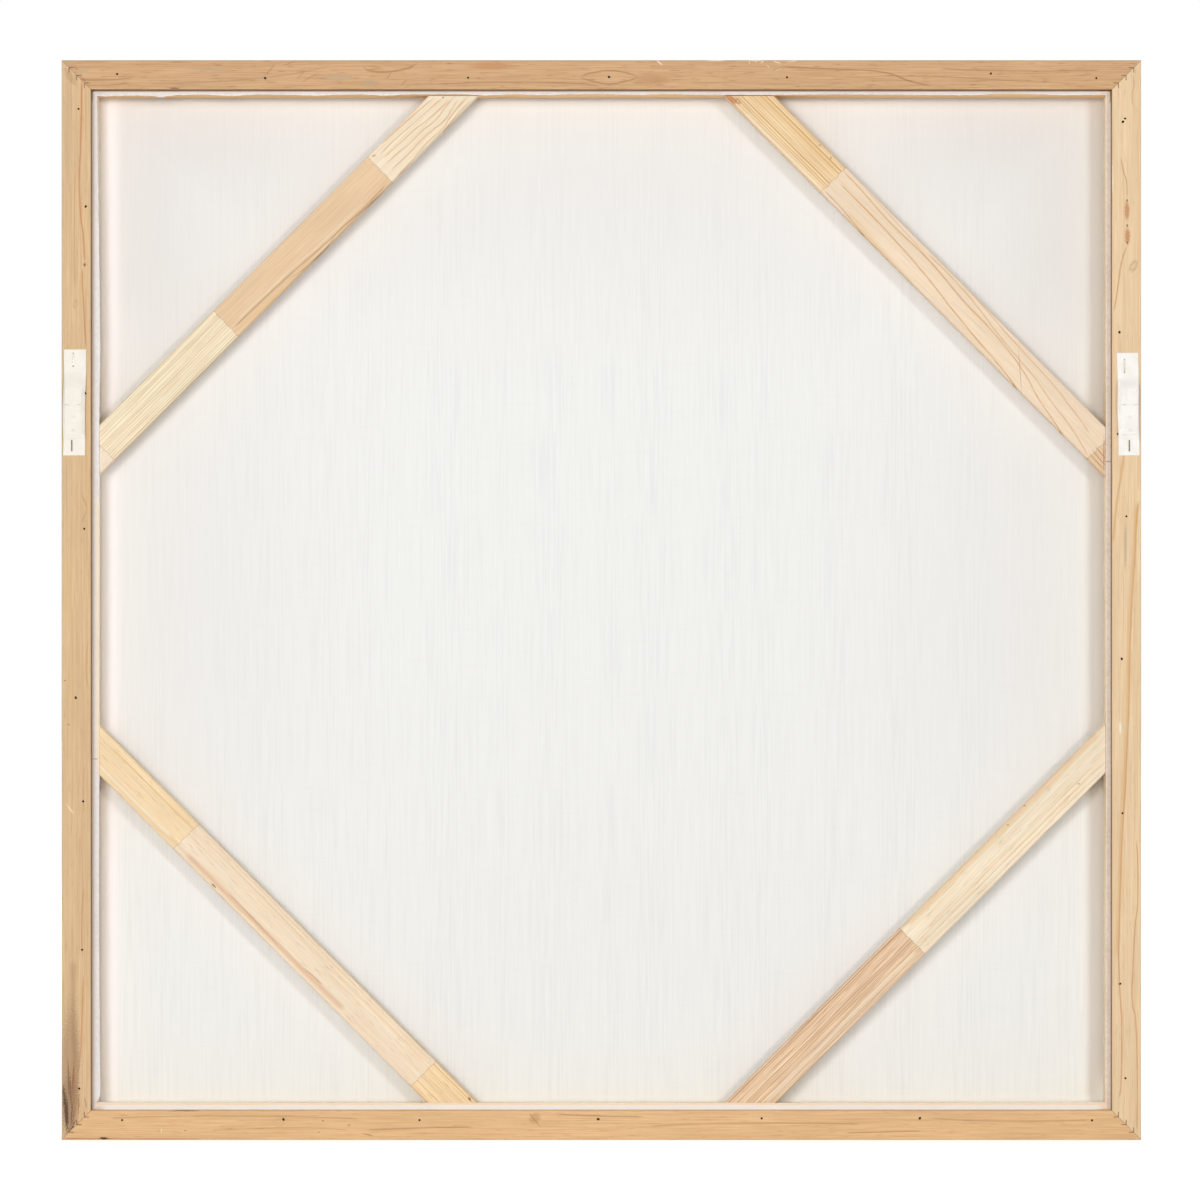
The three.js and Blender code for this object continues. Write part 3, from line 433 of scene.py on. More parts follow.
RAILS = {
    "frame_rail_top": {
        "along": (1, 0), "wood": TOP_WOOD, "seed": 4.3,
        "veins": [
            vein("brown", 0.55, 1.5, (362, 66), (380, 72), (400, 70), (418, 63)),
            vein("brown", 0.6, 1.2, (782, 66.7), (825, 68.6), (878, 71.5), (913, 82), (932, 86)),
            vein("brown", 0.55, 1.2, (580, 77), (596, 72), (609, 70.5), (622, 72), (638, 77)),
            vein("brown", 0.55, 1.2, (580, 77.5), (596, 82), (609, 84), (622, 82), (638, 77.5)),
            vein("brown", 0.45, 1.4, (70, 78), (95, 80), (135, 77)),
            vein("brown", 0.4, 1.0, (76, 84), (100, 85), (130, 83)),
            vein("brown", 0.35, 1.2, (440, 84), (520, 82), (600, 86)),
            vein("brown", 0.35, 1.2, (940, 68), (1010, 71), (1100, 70)),
            vein("brown", 0.3, 1.0, (830, 80), (900, 76), (1000, 80), (1080, 84)),
            vein("brown", 0.3, 1.0, (150, 84), (240, 80), (330, 66)),
        ],
        "marks": [
            streak("grey", 0.65, 1.6, (185, 68.5), (236, 70)),
            streak("brown", 0.55, 0.5, (263, 78), (277, 62)), streak("brown", 0.5, 0.5, (282, 66), (298, 60)),
            streak("brown", 0.5, 0.5, (296, 80), (306, 70)), streak("brown", 0.5, 0.5, (300, 83), (320, 72)),
            streak("brown", 0.5, 0.5, (386, 79), (392, 72)), streak("brown", 0.5, 0.5, (400, 86), (408, 79)),
            blot("grey", 0.6, (338, 77.5), (20, 4.2)), blot("grey", 0.6, (370, 83), (10, 4)),
            blot("rust", 0.4, (491, 66), (24, 4)), blot("brown", 0.22, (650, 80), (20, 7)),
            streak("cream", 0.7, 0.8, (656, 60), (662.6, 65)),
            streak("cream", 0.75, 0.7, (704, 60.4), (728, 60.4)),
            streak("cream", 0.75, 0.7, (749, 60.4), (763, 60.4)),
            streak("cream", 0.8, 0.4, (748.6, 60.5), (750, 64)),
            streak("cream", 0.8, 0.4, (755, 60.5), (756.4, 63)),
            streak("cream", 0.7, 0.5, (760.5, 63), (764, 61.4)),
            streak("cream", 0.7, 0.4, (766, 65), (770, 67.5)),
            streak("cream", 0.7, 0.5, (773, 61.2), (781, 63.4)),
            streak("cream", 0.6, 0.5, (774, 70.4), (783, 67.6)),
            streak("cream", 0.6, 0.5, (786, 62), (798, 60.6)),
            streak("brown", 0.5, 0.6, (771, 71), (786, 66)),
            streak("dark", 0.7, 0.8, (169, 88.2), (180, 88.4)), blot("grey", 0.6, (67, 64), (9, 5), 35),
            blot("grey", 0.4, (84, 70), (14, 3), 20), streak("brown", 0.6, 0.6, (74, 66), (78, 70)),
            streak("brown", 0.6, 0.5, (79, 75), (88, 83.5)),
        ],
    },
    "frame_rail_bottom": {
        "along": (1, 0), "wood": BOTTOM_WOOD, "seed": 9.6,
        "veins": [
            vein("brown", 0.5, 1.1, (367, 1130), (420, 1128), (474, 1127)),
            vein("brown", 0.5, 1.1, (556, 1114), (600, 1116), (642, 1116.7)),
            vein("brown", 0.5, 1.1, (844, 1133), (880, 1132), (922, 1131)),
            vein("rust", 0.8, 1.0, (62, 1138.4), (130, 1138.8), (200, 1139)),
            vein("brown", 0.35, 1.2, (110, 1118), (220, 1116), (360, 1119)),
            vein("brown", 0.35, 1.4, (650, 1126), (760, 1123), (860, 1124)),
            vein("brown", 0.35, 1.4, (930, 1118), (1010, 1121), (1090, 1120)),
            vein("brown", 0.3, 1.0, (210, 1131), (300, 1128), (350, 1131)),
        ],
        "marks": [
            streak("brown", 0.8, 0.7, (170, 1110.6), (201, 1110.9)),
            streak("cream", 0.7, 0.5, (161.4, 1128), (161.4, 1133)),
            blot("dark", 0.7, (185, 1130.7), (1.1, 0.6)), blot("dark", 1.0, (104, 1138.4), (5.0, 1.4)),
            blot("dark", 0.6, (323, 1121), (1.2, 0.7)), blot("dark", 0.6, (318.6, 1132.3), (1.2, 0.7)),
            blot("brown", 0.6, (349, 1125), (1.6, 0.8)), streak("dark", 0.5, 0.6, (362, 1133.4), (374, 1136)),
            blot("brown", 0.35, (535, 1118), (7, 5.5), 30),
            streak("brown", 0.55, 0.6, (528, 1111.8), (541.6, 1128.4)),
        ],
    },
    "frame_stile_left": {
        "along": (0, 1), "wood": LEFT_WOOD, "seed": 2.2,
        "veins": [
            vein("rust", 0.75, 1.3, (82.2, 80), (81.3, 113), (80.3, 152), (79.3, 181), (80.3, 211),
                 (83.2, 236), (84.6, 262)),
            vein("rust", 0.7, 1.2, (84.4, 267), (82.2, 279), (83.2, 294), (84.2, 318), (86, 347)),
            vein("brown", 0.3, 0.9, (75, 172), (74.2, 230), (74.5, 288)),
            vein("brown", 0.45, 1.0, (81, 492), (84, 500), (87, 508)),
            vein("brown", 0.45, 1.0, (87, 509), (84, 517), (81, 525)),
            vein("rust", 0.45, 1.1, (88, 640), (86.5, 665), (88.4, 690)),
            vein("rust", 0.4, 1.0, (84.5, 764), (83.5, 790), (84, 815)),
            vein("rust", 0.45, 1.1, (83.6, 890), (81.6, 925), (82.4, 957)),
            vein("rust", 0.5, 1.3, (83.6, 975), (82.2, 1015), (80.3, 1054), (77.5, 1075)),
            vein("umber", 0.3, 5.0, (73, 960), (74, 1030), (75.5, 1070), (74, 1110), (70, 1134)),
            vein("orange", 0.4, 1.6, (88.6, 380), (88, 450), (89, 520)),
            vein("orange", 0.35, 1.5, (70, 560), (71, 640), (69, 720)),
        ],
        "marks": [
            streak("grey", 0.45, 3.6, (67.5, 67), (67.5, 190)), blot("brown", 0.3, (70, 76), (11, 4), -60),
            streak("grey", 0.5, 1.0, (66.6, 457), (66.6, 515)),
            blot("brown", 0.85, (84.6, 264.7), (2.2, 1.5), 90),
            blot("dark", 0.6, (84.4, 264.9), (1.0, 0.7), 90),
            blot("brown", 0.45, (75.4, 304), (5, 2.4), 80, 0.7), blot("dark", 0.6, (64.7, 680.5), (1.2, 0.8)),
            blot("dark", 0.6, (68.6, 724.6), (1.3, 0.7)), streak("cream", 0.6, 0.7, (65.7, 803), (74.5, 815)),
            blot("umber", 0.45, (70, 1070), (74, 11), 89), blot("umber", 0.45, (69.5, 1104), (34, 10), 88),
            streak("dark", 0.7, 1.6, (63.4, 1082), (64.8, 1112)),
            streak("dark", 0.85, 2.2, (65.6, 1092), (67.4, 1134)),
            streak("dark", 0.45, 1.0, (68.2, 1056), (69.0, 1100)),
            streak("dark", 0.5, 0.9, (72.6, 1100), (70.4, 1132)),
            streak("dark", 0.5, 1.0, (69.6, 1070), (71.4, 1112)),
            streak("brown", 0.6, 1.1, (74, 1058), (72.6, 1096)),
            streak("dark", 0.6, 0.8, (76.6, 1118), (70.4, 1131)),
            streak("brown", 0.6, 0.9, (79, 1090), (78, 1119)),
            streak("brown", 0.5, 0.8, (73.5, 1066), (72, 1098)),
            streak("brown", 0.45, 0.8, (75.5, 1106), (72, 1127)),
            streak("brown", 0.5, 0.7, (84, 1095), (87, 1110)),
            streak("dark", 0.5, 0.8, (71, 1127), (78, 1127.5)),
        ],
    },
    "frame_stile_right": {
        "along": (0, 1), "wood": RIGHT_WOOD, "seed": 6.9,
        "veins": [
            vein("rust", 0.55, 1.1, (1132, 74), (1134, 84), (1132, 95), (1133.4, 108)),
            vein("rust", 0.6, 1.2, (1121, 156), (1123.5, 172), (1126.4, 181), (1127, 199)),
            vein("rust", 0.6, 1.2, (1127, 246), (1121, 265), (1117.7, 288), (1113.8, 312)),
            vein("amber", 0.55, 1.9, (1126, 440), (1123.5, 457), (1121, 476), (1117.7, 496), (1114.7, 525),
                 (1113, 544)),
            vein("rust", 0.4, 1.1, (1139, 501), (1137, 515), (1135, 554), (1133, 583), (1130.3, 636),
                 (1128.4, 718), (1126.4, 757), (1125.4, 786), (1123.5, 815), (1122, 844), (1119.6, 908),
                 (1118.6, 957)),
            vein("amber", 0.45, 1.6, (1139, 501), (1137, 515), (1135, 554), (1133, 583), (1130.3, 636),
                 (1128.4, 718), (1125.4, 786), (1122, 844), (1118.6, 957), soft=-5.0),
            vein("rust", 0.6, 1.2, (1118.6, 950), (1119.6, 986), (1121.6, 1025), (1121, 1083),
                 (1117.7, 1099)),
            vein("rust", 0.55, 1.2, (1136, 840), (1138, 889), (1135, 927.5), (1133, 966.5), (1132, 995.6),
                 (1135, 1015), (1137, 1054), (1137, 1132)),
            vein("orange", 0.5, 1.4, (1138.4, 66), (1138.6, 300), (1138.2, 490)),
            vein("orange", 0.35, 1.6, (1117, 320), (1120, 360), (1118, 430)),
        ],
        "marks": [
            blot("rust", 0.75, (1127, 210.6), (11, 2.9), 90), blot("rust", 0.75, (1127.4, 236), (9, 3.0), 90),
            blot("dark", 0.7, (1127, 200.3), (1.6, 1.0), 90),
            blot("dark", 0.75, (1127.2, 225.8), (2.0, 1.0), 90),
            blot("dark", 0.7, (1127.4, 242.7), (1.6, 1.0), 90),
            blot("brown", 0.45, (1133.5, 266), (7, 4), 60, 0.65),
            streak("grey", 0.6, 1.7, (1125.5, 519), (1125.5, 573)),
            streak("cream", 0.75, 1.3, (1120.3, 720.7), (1120.3, 735)),
            streak("cream", 0.6, 0.7, (1112.6, 160), (1112.6, 195)),
        ],
    },
}

BRACES = {
    "corner_brace_top_left": {
        "along": (1, 1), "seed": 1.7,
        "segments": [
            (None, pine((250, 236, 216), (226, 188, 142), pith=(-60, 30, 0), ring=3.0)),
            ((108, 453.3), pine((255, 244, 216), (208, 160, 92), pith=(-70, 12, 0), ring=2.2, contrast=0.85,
                                sway=1.0, pores=0.15)),
            ((227.2, 324.8), pine((237, 208, 171), (214, 164, 114), pith=(60, 20, 0), ring=1.6, contrast=0.25,
                                  fibre=0.35, pores=0.1)),
            ((381.2, 170.9), pine((250, 236, 212), (224, 178, 116), pith=(-60, 14, 0.0), ring=2.1,
                                  contrast=0.4, fibre=0.3, pores=0.1)),
        ],
        "veins": [
            vein("orange", 0.35, 3.0, (236, 332), (292, 281), (330, 246), (385, 187)),
            vein("brown", 0.5, 0.7, (234, 327), (289, 275), (330, 239), (367, 204), (386, 184), soft=1.8),
            vein("brown", 0.5, 0.6, (287, 277), (325, 249), (338.5, 231), (363, 210), (384, 190)),
            vein("cream", 0.3, 1.2, (238, 319), (289, 271), (330, 235), (364, 202)),
            # Painted highlight: a pale line along the brace's lower right edge, where its arris catches the
            # light
            vein("cream", 0.8, 1.6, (244, 333), (294, 284), (350, 229), (387, 192)),
            vein("amber", 0.6, 0.7, (381.4, 144.4), (409.6, 118.3), (435, 97.2), soft=1.3),
            vein("amber", 0.6, 0.7, (380, 154.3), (394, 140.2), (411, 125.4), (426.5, 111.3), (442, 97.9),
                 soft=1.3),
            vein("amber", 0.6, 0.7, (382.8, 158.5), (401.2, 141.6), (415.3, 128.9), (426.5, 120.4),
                 (440.6, 107.7), (449, 98.2), soft=1.3),
            vein("amber", 0.6, 0.7, (386, 164), (398.3, 152.5), (408.2, 144.4), (422.3, 130.3), (435, 120.4),
                 (443.5, 109.2), (452, 98.6), soft=1.3),
            vein("amber", 0.6, 0.7, (391, 170), (409.6, 152.2), (420.9, 140.2), (433.6, 128.9),
                 (443.5, 121.1), (450.5, 110.6), (458.3, 98.6), soft=1.3),
            vein("amber", 0.6, 0.7, (396, 177), (408.2, 164.2), (418.1, 152.9), (429.4, 140.2),
                 (440.6, 130.3), (449.1, 118.3), (457.6, 107.7), (466, 98.6), soft=1.3),
            vein("amber", 0.6, 0.7, (440.6, 134), (453.3, 119), (463.2, 107.7), (471.7, 99.3), soft=1.3),
        ],
        "marks": [
            blot("brown", 0.45, (374, 155.7), (2.8, 1.1), 20), blot("dark", 0.6, (443, 97.5), (1.2, 0.9)),
            streak("brown", 0.85, 0.6, (99.3, 430), (99.3, 475)),
        ],
    },
    "corner_brace_top_right": {
        "along": (1, -1), "seed": 5.4, "step": 0.4,
        "segments": [
            (None, pine((250, 223, 178), (196, 138, 78), pith=(-70, 8, 0), ring=2.6, contrast=0.9, fibre=0.3,
                        sway=0.6, pores=0.15)),
            ((832, 181.5), pine((247, 225, 198), (226, 186, 140), pith=(40, 46, 0.02), ring=2.6,
                                contrast=0.15, fibre=0.3, pores=0.1)),
            ((1098.5, 448), pine((244, 216, 180), (216, 166, 116), pith=(-50, 20, 0), ring=2.2, pores=0.15)),
        ],
        "veins": [
            vein("amber", 0.8, 0.65, (840, 184), (871, 215), (909.7, 257), (955, 313), (975.4, 338),
                 (1001, 368), (1020, 393), soft=-1.4),
            vein("amber", 0.75, 0.6, (843, 172), (855.4, 184), (889.2, 222), (929, 260.5), (963, 301),
                 (996, 336), (1022, 370), (1039, 400), (1052, 419), (1065, 438), soft=-1.3),
            vein("amber", 0.6, 0.6, (928, 254), (963, 290), (1005, 343), (1033, 376), (1050, 400),
                 (1069, 425), (1088, 457), soft=-1.3),
            vein("amber", 0.55, 0.6, (938, 254), (980, 303), (1022, 351), (1048, 379), (1071, 408),
                 (1090, 434), soft=-1.3),
            vein("orange", 0.25, 7.5, (752, 86), (795, 129), (838, 172)),
            vein("cream", 0.4, 3.2, (744, 112), (785, 153), (824, 192)),
            vein("amber", 0.45, 0.6, (868, 192), (905, 232), (946, 280), (990, 328)),
            vein("brown", 0.6, 0.8, (824, 190), (840, 206.7), (860.5, 231), (872, 246)),
            vein("orange", 0.35, 5.0, (846, 212), (890, 262), (934, 312), (980, 366)),
            vein("brown", 0.7, 0.9, (1091, 449), (1098, 457), (1106, 466)),
            vein("brown", 0.65, 0.9, (1095, 446), (1101, 453), (1107, 460)),
            vein("brown", 0.5, 0.9, (1088, 452), (1096, 461), (1105, 471)),
        ],
        "marks": [
            streak("brown", 0.8, 0.6, (1103.9, 432), (1103.9, 477)),
            blot("rust", 0.8, (731, 99), (9, 3.6), -35), blot("brown", 0.7, (738, 101), (4, 2.2), -50, 0.6),
            streak("brown", 0.45, 0.5, (1018, 345), (1022, 395)),
            streak("brown", 0.6, 0.8, (1016, 388), (1026, 399.5)),
            blot("brown", 0.6, (819.6, 145.4), (1.4, 0.9)),
            streak("brown", 0.6, 0.8, (830.8, 156), (830.8, 160)),
        ],
    },
    "corner_brace_bottom_left": {
        "along": (1, -1), "seed": 8.1,
        "segments": [
            (None, pine((253, 228, 188), (228, 186, 128), pith=(-44, 40, 0.01), ring=4.0, contrast=0.4)),
            ((187.1, 835.5), pine((251, 233, 207), (232, 192, 148), pith=(-20, 14, 0), ring=2.3, contrast=0.4,
                                  sway=0.8)),
            ((423.6, 1073.5), pine((253, 229, 187), (226, 170, 106), pith=(60, 10, 0), ring=2.1,
                                   contrast=0.75, sway=1.0)),
        ],
        "veins": [
            vein("orange", 0.6, 1.4, (112, 748), (150, 786), (196, 832)),
            vein("cream", 0.6, 2.2, (96, 762), (130, 796), (172, 838)),
            vein("tan", 0.5, 4.5, (186, 853), (222, 889.5), (262, 929), (302, 969), (345, 1010)),
            vein("brown", 0.45, 0.8, (228, 893), (245, 910), (262, 928), (278, 945)),
            vein("orange", 0.5, 0.9, (210, 832), (239, 862), (310, 933), (378, 1003), (430, 1056)),
            vein("orange", 0.45, 0.9, (206, 836), (236, 865), (306, 936), (375, 1006), (427, 1058)),
            vein("orange", 0.4, 0.8, (203, 839), (233, 868), (303, 939), (372, 1009), (424, 1061)),
            vein("brown", 0.6, 1.0, (304.7, 968.7), (314, 977), (323, 985.6)),
        ],
        "marks": [
            streak("dark", 0.75, 0.9, (211, 882.7), (216.6, 888.7)),
            blot("dark", 0.7, (469.5, 1099), (2.6, 1.3), -60),
        ],
    },
    "corner_brace_bottom_right": {
        "along": (1, 1), "seed": 11.3,
        "segments": [
            (None, pine((252, 223, 188), (182, 128, 82), pith=(-60, 10, 0), ring=1.9, contrast=0.9, fibre=0.5,
                        sway=0.8)),
            ((912.3, 941), pine((255, 241, 216), (228, 190, 140), pith=(-1, 13, 0), ring=2.2, contrast=0.5,
                                sway=1.0)),
        ],
        "veins": [
            vein("orange", 0.38, 3.6, (907, 927), (982, 852), (1062, 772), (1100, 734), soft=-5.5),
            vein("cream", 0.5, 3.0, (764, 1104), (810, 1058), (864, 1003), (917, 951)),
            vein("amber", 0.45, 0.6, (921, 951), (980, 893), (1042, 830), (1102, 771)),
            vein("amber", 0.4, 0.6, (918, 947), (976, 889), (1038, 827), (1102, 764)),
            vein("amber", 0.35, 0.6, (916, 943), (974, 885), (1034, 824), (1098, 762)),
            vein("tan", 0.45, 0.8, (748, 1104), (800, 1052), (856, 997), (904, 949)),
        ],
        "marks": [
            blot("dark", 0.5, (1024.7, 805.6), (1.4, 0.8)), blot("dark", 0.5, (1007.9, 825), (1.4, 0.8)),
            blot("brown", 0.5, (1078.7, 783.8), (1.6, 0.9)),
        ],
    },
}

# The square's sides, anticlockwise seen from the back
SIDES = ("bottom", "right", "top", "left")

# Nails that show only as sunk heads: shares of half the side's length, and of the landing's width
SUNK_BRADS = {
    "bottom": [(-0.589, 0.48), (-0.006, 0.50), (0.590, 0.55)],
    "right": [(0.886, 0.36), (0.496, 0.56), (0.3075, 0.65), (-0.109, 0.43), (-0.711, 0.52)],
    "top": [(0.623, 0.34), (-0.014, 0.27), (-0.7215, 0.075)],
    "left": [(-0.729, 0.70), (-0.3826, 0.67), (0.181, 0.12), (0.648, 0.49)],
}

# The landing is the bar's strip under the rear leg, which the nails go into: its inset and its width
LANDING_INSET = (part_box("stretcher_bar_bottom")[0].z - CAD_LOW.z) / MM
LANDING_WIDTH = (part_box("frame_rail_bottom")[1].z - CAD_LOW.z) / MM - LANDING_INSET

# The cloth's cut edge: shares of half the opening's side, and how far it stands past the bar's edge
CUT_EDGES = {
    "bottom": [
        (-1, 2.4), (-0.8, 2.3), (-0.6, 2.1), (-0.42, 2.3), (-0.34, 1.9), (-0.22, 1.9), (-0.12, 2.3),
        (0.1, 2.2), (0.22, 1.9), (0.34, 1.9), (0.42, 2.3), (0.6, 2.1), (0.8, 2.3), (1, 2.4),
    ],
    "right": [
        (-1, 1.0), (-0.8, 0.7), (-0.6, 0.5), (-0.34, 0.3), (-0.22, 0.4), (0, 0.6), (0.22, 0.4), (0.34, 0.3),
        (0.6, 0.5), (0.8, 0.6), (1, 0.8),
    ],
    "left": [
        (-1, 0.4), (-0.92, 0.8), (-0.82, 1.3), (-0.72, 2.3), (-0.6, 3.0), (-0.48, 3.4), (-0.4, 2.8),
        (-0.34, 2.6), (-0.25, 2.8), (-0.2, 2.9), (0, 2.9), (0.22, 2.8), (0.34, 2.8), (0.41, 2.4), (0.55, 2.2),
        (0.7, 2.4), (0.85, 2.9), (0.975, 3.6), (0.988, 3.4), (1, -0.8),
    ],
}

# The top's cut edge, as places in the photograph
TOP_CUT_EDGE = (
    (97, 96.1), (100, 96.3), (133, 95.7), (152, 96.1), (160, 97.3), (168, 95.9), (180, 95.0), (201, 94.6),
    (230, 95.9), (259, 94.6), (288, 95.0), (318, 95.7), (337, 94.8), (360, 94.4), (385, 95.7), (414, 94.4),
    (459, 94.2), (486, 95.4), (515, 94.2), (545, 95.2), (570, 94.4), (593, 94.0), (642, 94.8), (662, 94.0),
    (699, 94.8), (767, 94.9), (825, 94.5), (883, 94.7), (974, 95.2), (1003, 93.7), (1032, 94.1),
    (1060, 95.2), (1102, 94.7), (1105, 95.1),
)

# The L of the frame's section: how wide its wall is and how deep its rear leg
WALL_WIDTH = 6
LEG_DEPTH = 10

# Two short marks across the cloth's turned edge
CLOTH_TICKS = ((95.2, 758.9), (1108.3, 461.5))


# Settings that a user would change


def length_setting(name, description, millimetres):
    return FloatProperty(
        name=name, description=description, default=millimetres * MM, subtype="DISTANCE", unit="LENGTH")


def tone_setting(name, description, *levels):
    return FloatVectorProperty(name=name, description=description, default=tone(*levels), subtype="COLOR")


def power_setting(name, description, watts):
    return FloatProperty(name=name, description=description, default=watts, unit="POWER")


class TimberSettings(bpy.types.PropertyGroup):
    grain_strength: FloatProperty(
        name="Grain strength", description="How much the growth rings show", default=1.0, min=0.0, max=2.0)
    nail_length: length_setting("Nail head length", "Long side of a sunk nail head", 2.1)
    nail_width: length_setting("Nail head width", "Short side of a sunk nail head", 1.7)


class ClothSettings(bpy.types.PropertyGroup):
    thickness: length_setting("Cloth thickness", "Thickness of the primed cloth", 0.6)
    sag: length_setting("Sag", "How far the middle of the cloth lies behind its edges", 0.5)
    curl: length_setting("Edge curl", "How far the cut edge lifts off the bars", 0.8)
    back_tone: tone_setting("Back", "Colour of the bare side of the cloth", 245, 245, 242)
    front_tone: tone_setting("Front", "Colour of the primed side of the cloth", 245, 245, 242)


class CoverSettings(bpy.types.PropertyGroup):
    thickness: length_setting("Strip thickness", "Thickness of a hanger cover", 0.9)
    left_tone: tone_setting("Left strip", "Colour of the left hanger cover", 248, 242, 232)
    right_tone: tone_setting("Right strip", "Colour of the right hanger cover", 255, 252, 248)


class StudioSettings(bpy.types.PropertyGroup):
    right_power: power_setting("Right lamp", "Power of the lamp on the right", 126.0)
    left_power: power_setting("Left lamp", "Power of the lamp at the upper left", 30.0)
    front_power: power_setting("Front lamp", "Power of the wide lamp behind the camera", 145.0)
    far_power: power_setting("Far lamps", "Power of each of the two lamps on the far side", 56.0)
    surroundings: FloatProperty(
        name="Surroundings", description="Strength of the even light from all round", default=0.27)
    camera_distance: length_setting("Camera distance", "From the camera to the frame's back", CAMERA_DISTANCE)


# Shared ways of making and dressing pieces


def dress(material, *names):
    """Gives carried-over nodes their material."""
    for name in names:
        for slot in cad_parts[name].material_slots:
            slot.material = material


def starting_with(*prefixes):
    return [name for name in sorted(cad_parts) if name.startswith(prefixes)]


def add_piece(name, mesh, material, body="frame"):
    mesh.materials.append(material)
    piece = bpy.data.objects.new(name, mesh)
    bpy.context.scene.collection.objects.link(piece)
    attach(piece, body)
    return piece


def finished_mesh(name, shape, smooth=True):
    bmesh.ops.recalc_face_normals(shape, faces=shape.faces)
    mesh = bpy.data.meshes.new(name)
    shape.to_mesh(mesh)
    shape.free()
    if smooth:
        mesh.shade_smooth()
    return mesh


def skin(shape, rings, closed=True):
    """Adds the faces between each ring of points and the next."""
    for outer, inner in zip(rings, rings[1:]):
        for number in range(len(outer) if closed else len(outer) - 1):
            after = (number + 1) % len(outer)
            shape.faces.new((outer[number], outer[after], inner[after], inner[number]))


def on_side(side, along, inset, depth):
    """A point on one side of the square, in metres: along from its middle, inset from the frame's outside."""
    x, z = {
        "bottom": (along, inset),
        "right": (HALF - inset, HEIGHT / 2 + along),
        "top": (-along, HEIGHT - inset),
        "left": (inset - HALF, HEIGHT / 2 - along),
    }[side]
    return Vector((MIDDLE.x + x * MM, depth * MM, CAD_LOW.z + z * MM))


def through(points, place):
    """The value at a place on a soft line through points."""
    for (start, first), (end, last) in zip(points, points[1:]):
        if place <= end:
            share = min(1.0, max(0.0, (place - start) / (end - start)))
            share = share * share * (3 - 2 * share)
            return first + (last - first) * share
    return points[-1][1]


# Metal


def steel(name, pale, dark, roughness, grit, bright=1.0):
    finish = Finish(name, roughness, 0.5 * bright)
    finish.shader.inputs["Metallic"].default_value = bright
    place = finish.places()
    patches = finish.noise(place, 3, 0.7)
    scratches = finish.noise(finish.scaled(place, (4.0, 4.0, 0.6)), 3)
    finish.feed(finish.shader.inputs["Roughness"],
                finish.spread(patches, 0.3, 0.7, roughness - 0.08, roughness + 0.14))
    finish.bump(scratches, 0.00005, grit)
    return finish.colour(finish.mixed(finish.spread(patches, 0.42, 0.68), pale, dark))


def sunk_steel(name, pale, dark):
    """Nails under a film of rust and wood dust."""
    finish = Finish(name, 0.6, 0.2)
    place = finish.places()
    patches = finish.noise(place, 2, 1.4)
    finish.bump(patches, 0.0001, 0.5)
    return finish.colour(finish.mixed(finish.spread(patches, 0.4, 0.66), tone(*pale), tone(*dark)))


class CANVAS_OT_dress_metal(bpy.types.Operator):
    """Gives the hangers, screws, staples and nails their metal"""

    bl_idname = "canvas.dress_metal"
    bl_label = "Metal"

    def execute(self, context):
        nickel = steel("nickel_plate", tone(196, 192, 184), tone(150, 146, 140), 0.3, 0.3)
        blued = steel("blued_steel", tone(30, 16, 7), tone(18, 10, 5), 0.85, 0.5, bright=0.0)
        bright = steel("bright_staple_wire", tone(200, 194, 182), tone(150, 138, 120), 0.5, 0.3, bright=0.6)
        dull = steel("dull_staple_wire", tone(112, 98, 84), tone(66, 54, 44), 0.5, 0.5)
        dress(nickel, *starting_with("hanger_strap", "hanger_ring", "hanger_screw"))
        dress(blued, *starting_with("brad"))
        dress(sunk_steel("rusted_v_nails", (174, 134, 96), (132, 98, 68)), *starting_with("v_nail"))
        dress(dull, *starting_with("stretcher_staple", "cover_staple"))
        dress(bright, "cover_staple_left_upper", "cover_staple_right_upper")
        return {"FINISHED"}


# Timber


class CANVAS_OT_dress_rails(bpy.types.Operator):
    """Gives the frame's rails and stiles their pine, each with its own grain and marks"""

    bl_idname = "canvas.dress_rails"
    bl_label = "Frame rails and stiles"

    def execute(self, context):
        for name, look in RAILS.items():
            board = Board(name, look["along"])
            # Every leg but the foot's gets painted crack shade; light from above reaches the foot's leg
            crack_shade_strength = 0.0 if name == "frame_rail_bottom" else 0.85
            dress(timber(name + "_pine", board, [(None, look["wood"])], look["veins"], look["marks"],
                         seed=look["seed"], crack_shade_strength=crack_shade_strength), name)
        return {"FINISHED"}


class CANVAS_OT_dress_bars(bpy.types.Operator):
    """Gives the stretcher bars their pine"""

    bl_idname = "canvas.dress_bars"
    bl_label = "Stretcher bars"

    def execute(self, context):
        for number, side in enumerate(SIDES):
            name = "stretcher_bar_" + side
            board = Board(name, (1, 0) if side in {"bottom", "top"} else (0, 1))
            dress(timber(name + "_pine", board, [(None, LIT_AND_SHADED_BAR_WOODS[side])], seed=13.7 + 5 * number), name)
        return {"FINISHED"}


class CANVAS_OT_dress_braces(bpy.types.Operator):
    """Gives each corner brace its finger-jointed lengths of pine"""

    bl_idname = "canvas.dress_braces"
    bl_label = "Corner braces"

    def execute(self, context):
        for name, look in BRACES.items():
            board = Board(name, look["along"])
            dress(timber(name + "_pine", board, look["segments"], look["veins"], look["marks"],
                         look.get("step", 0.25), look["seed"]), name)
        return {"FINISHED"}


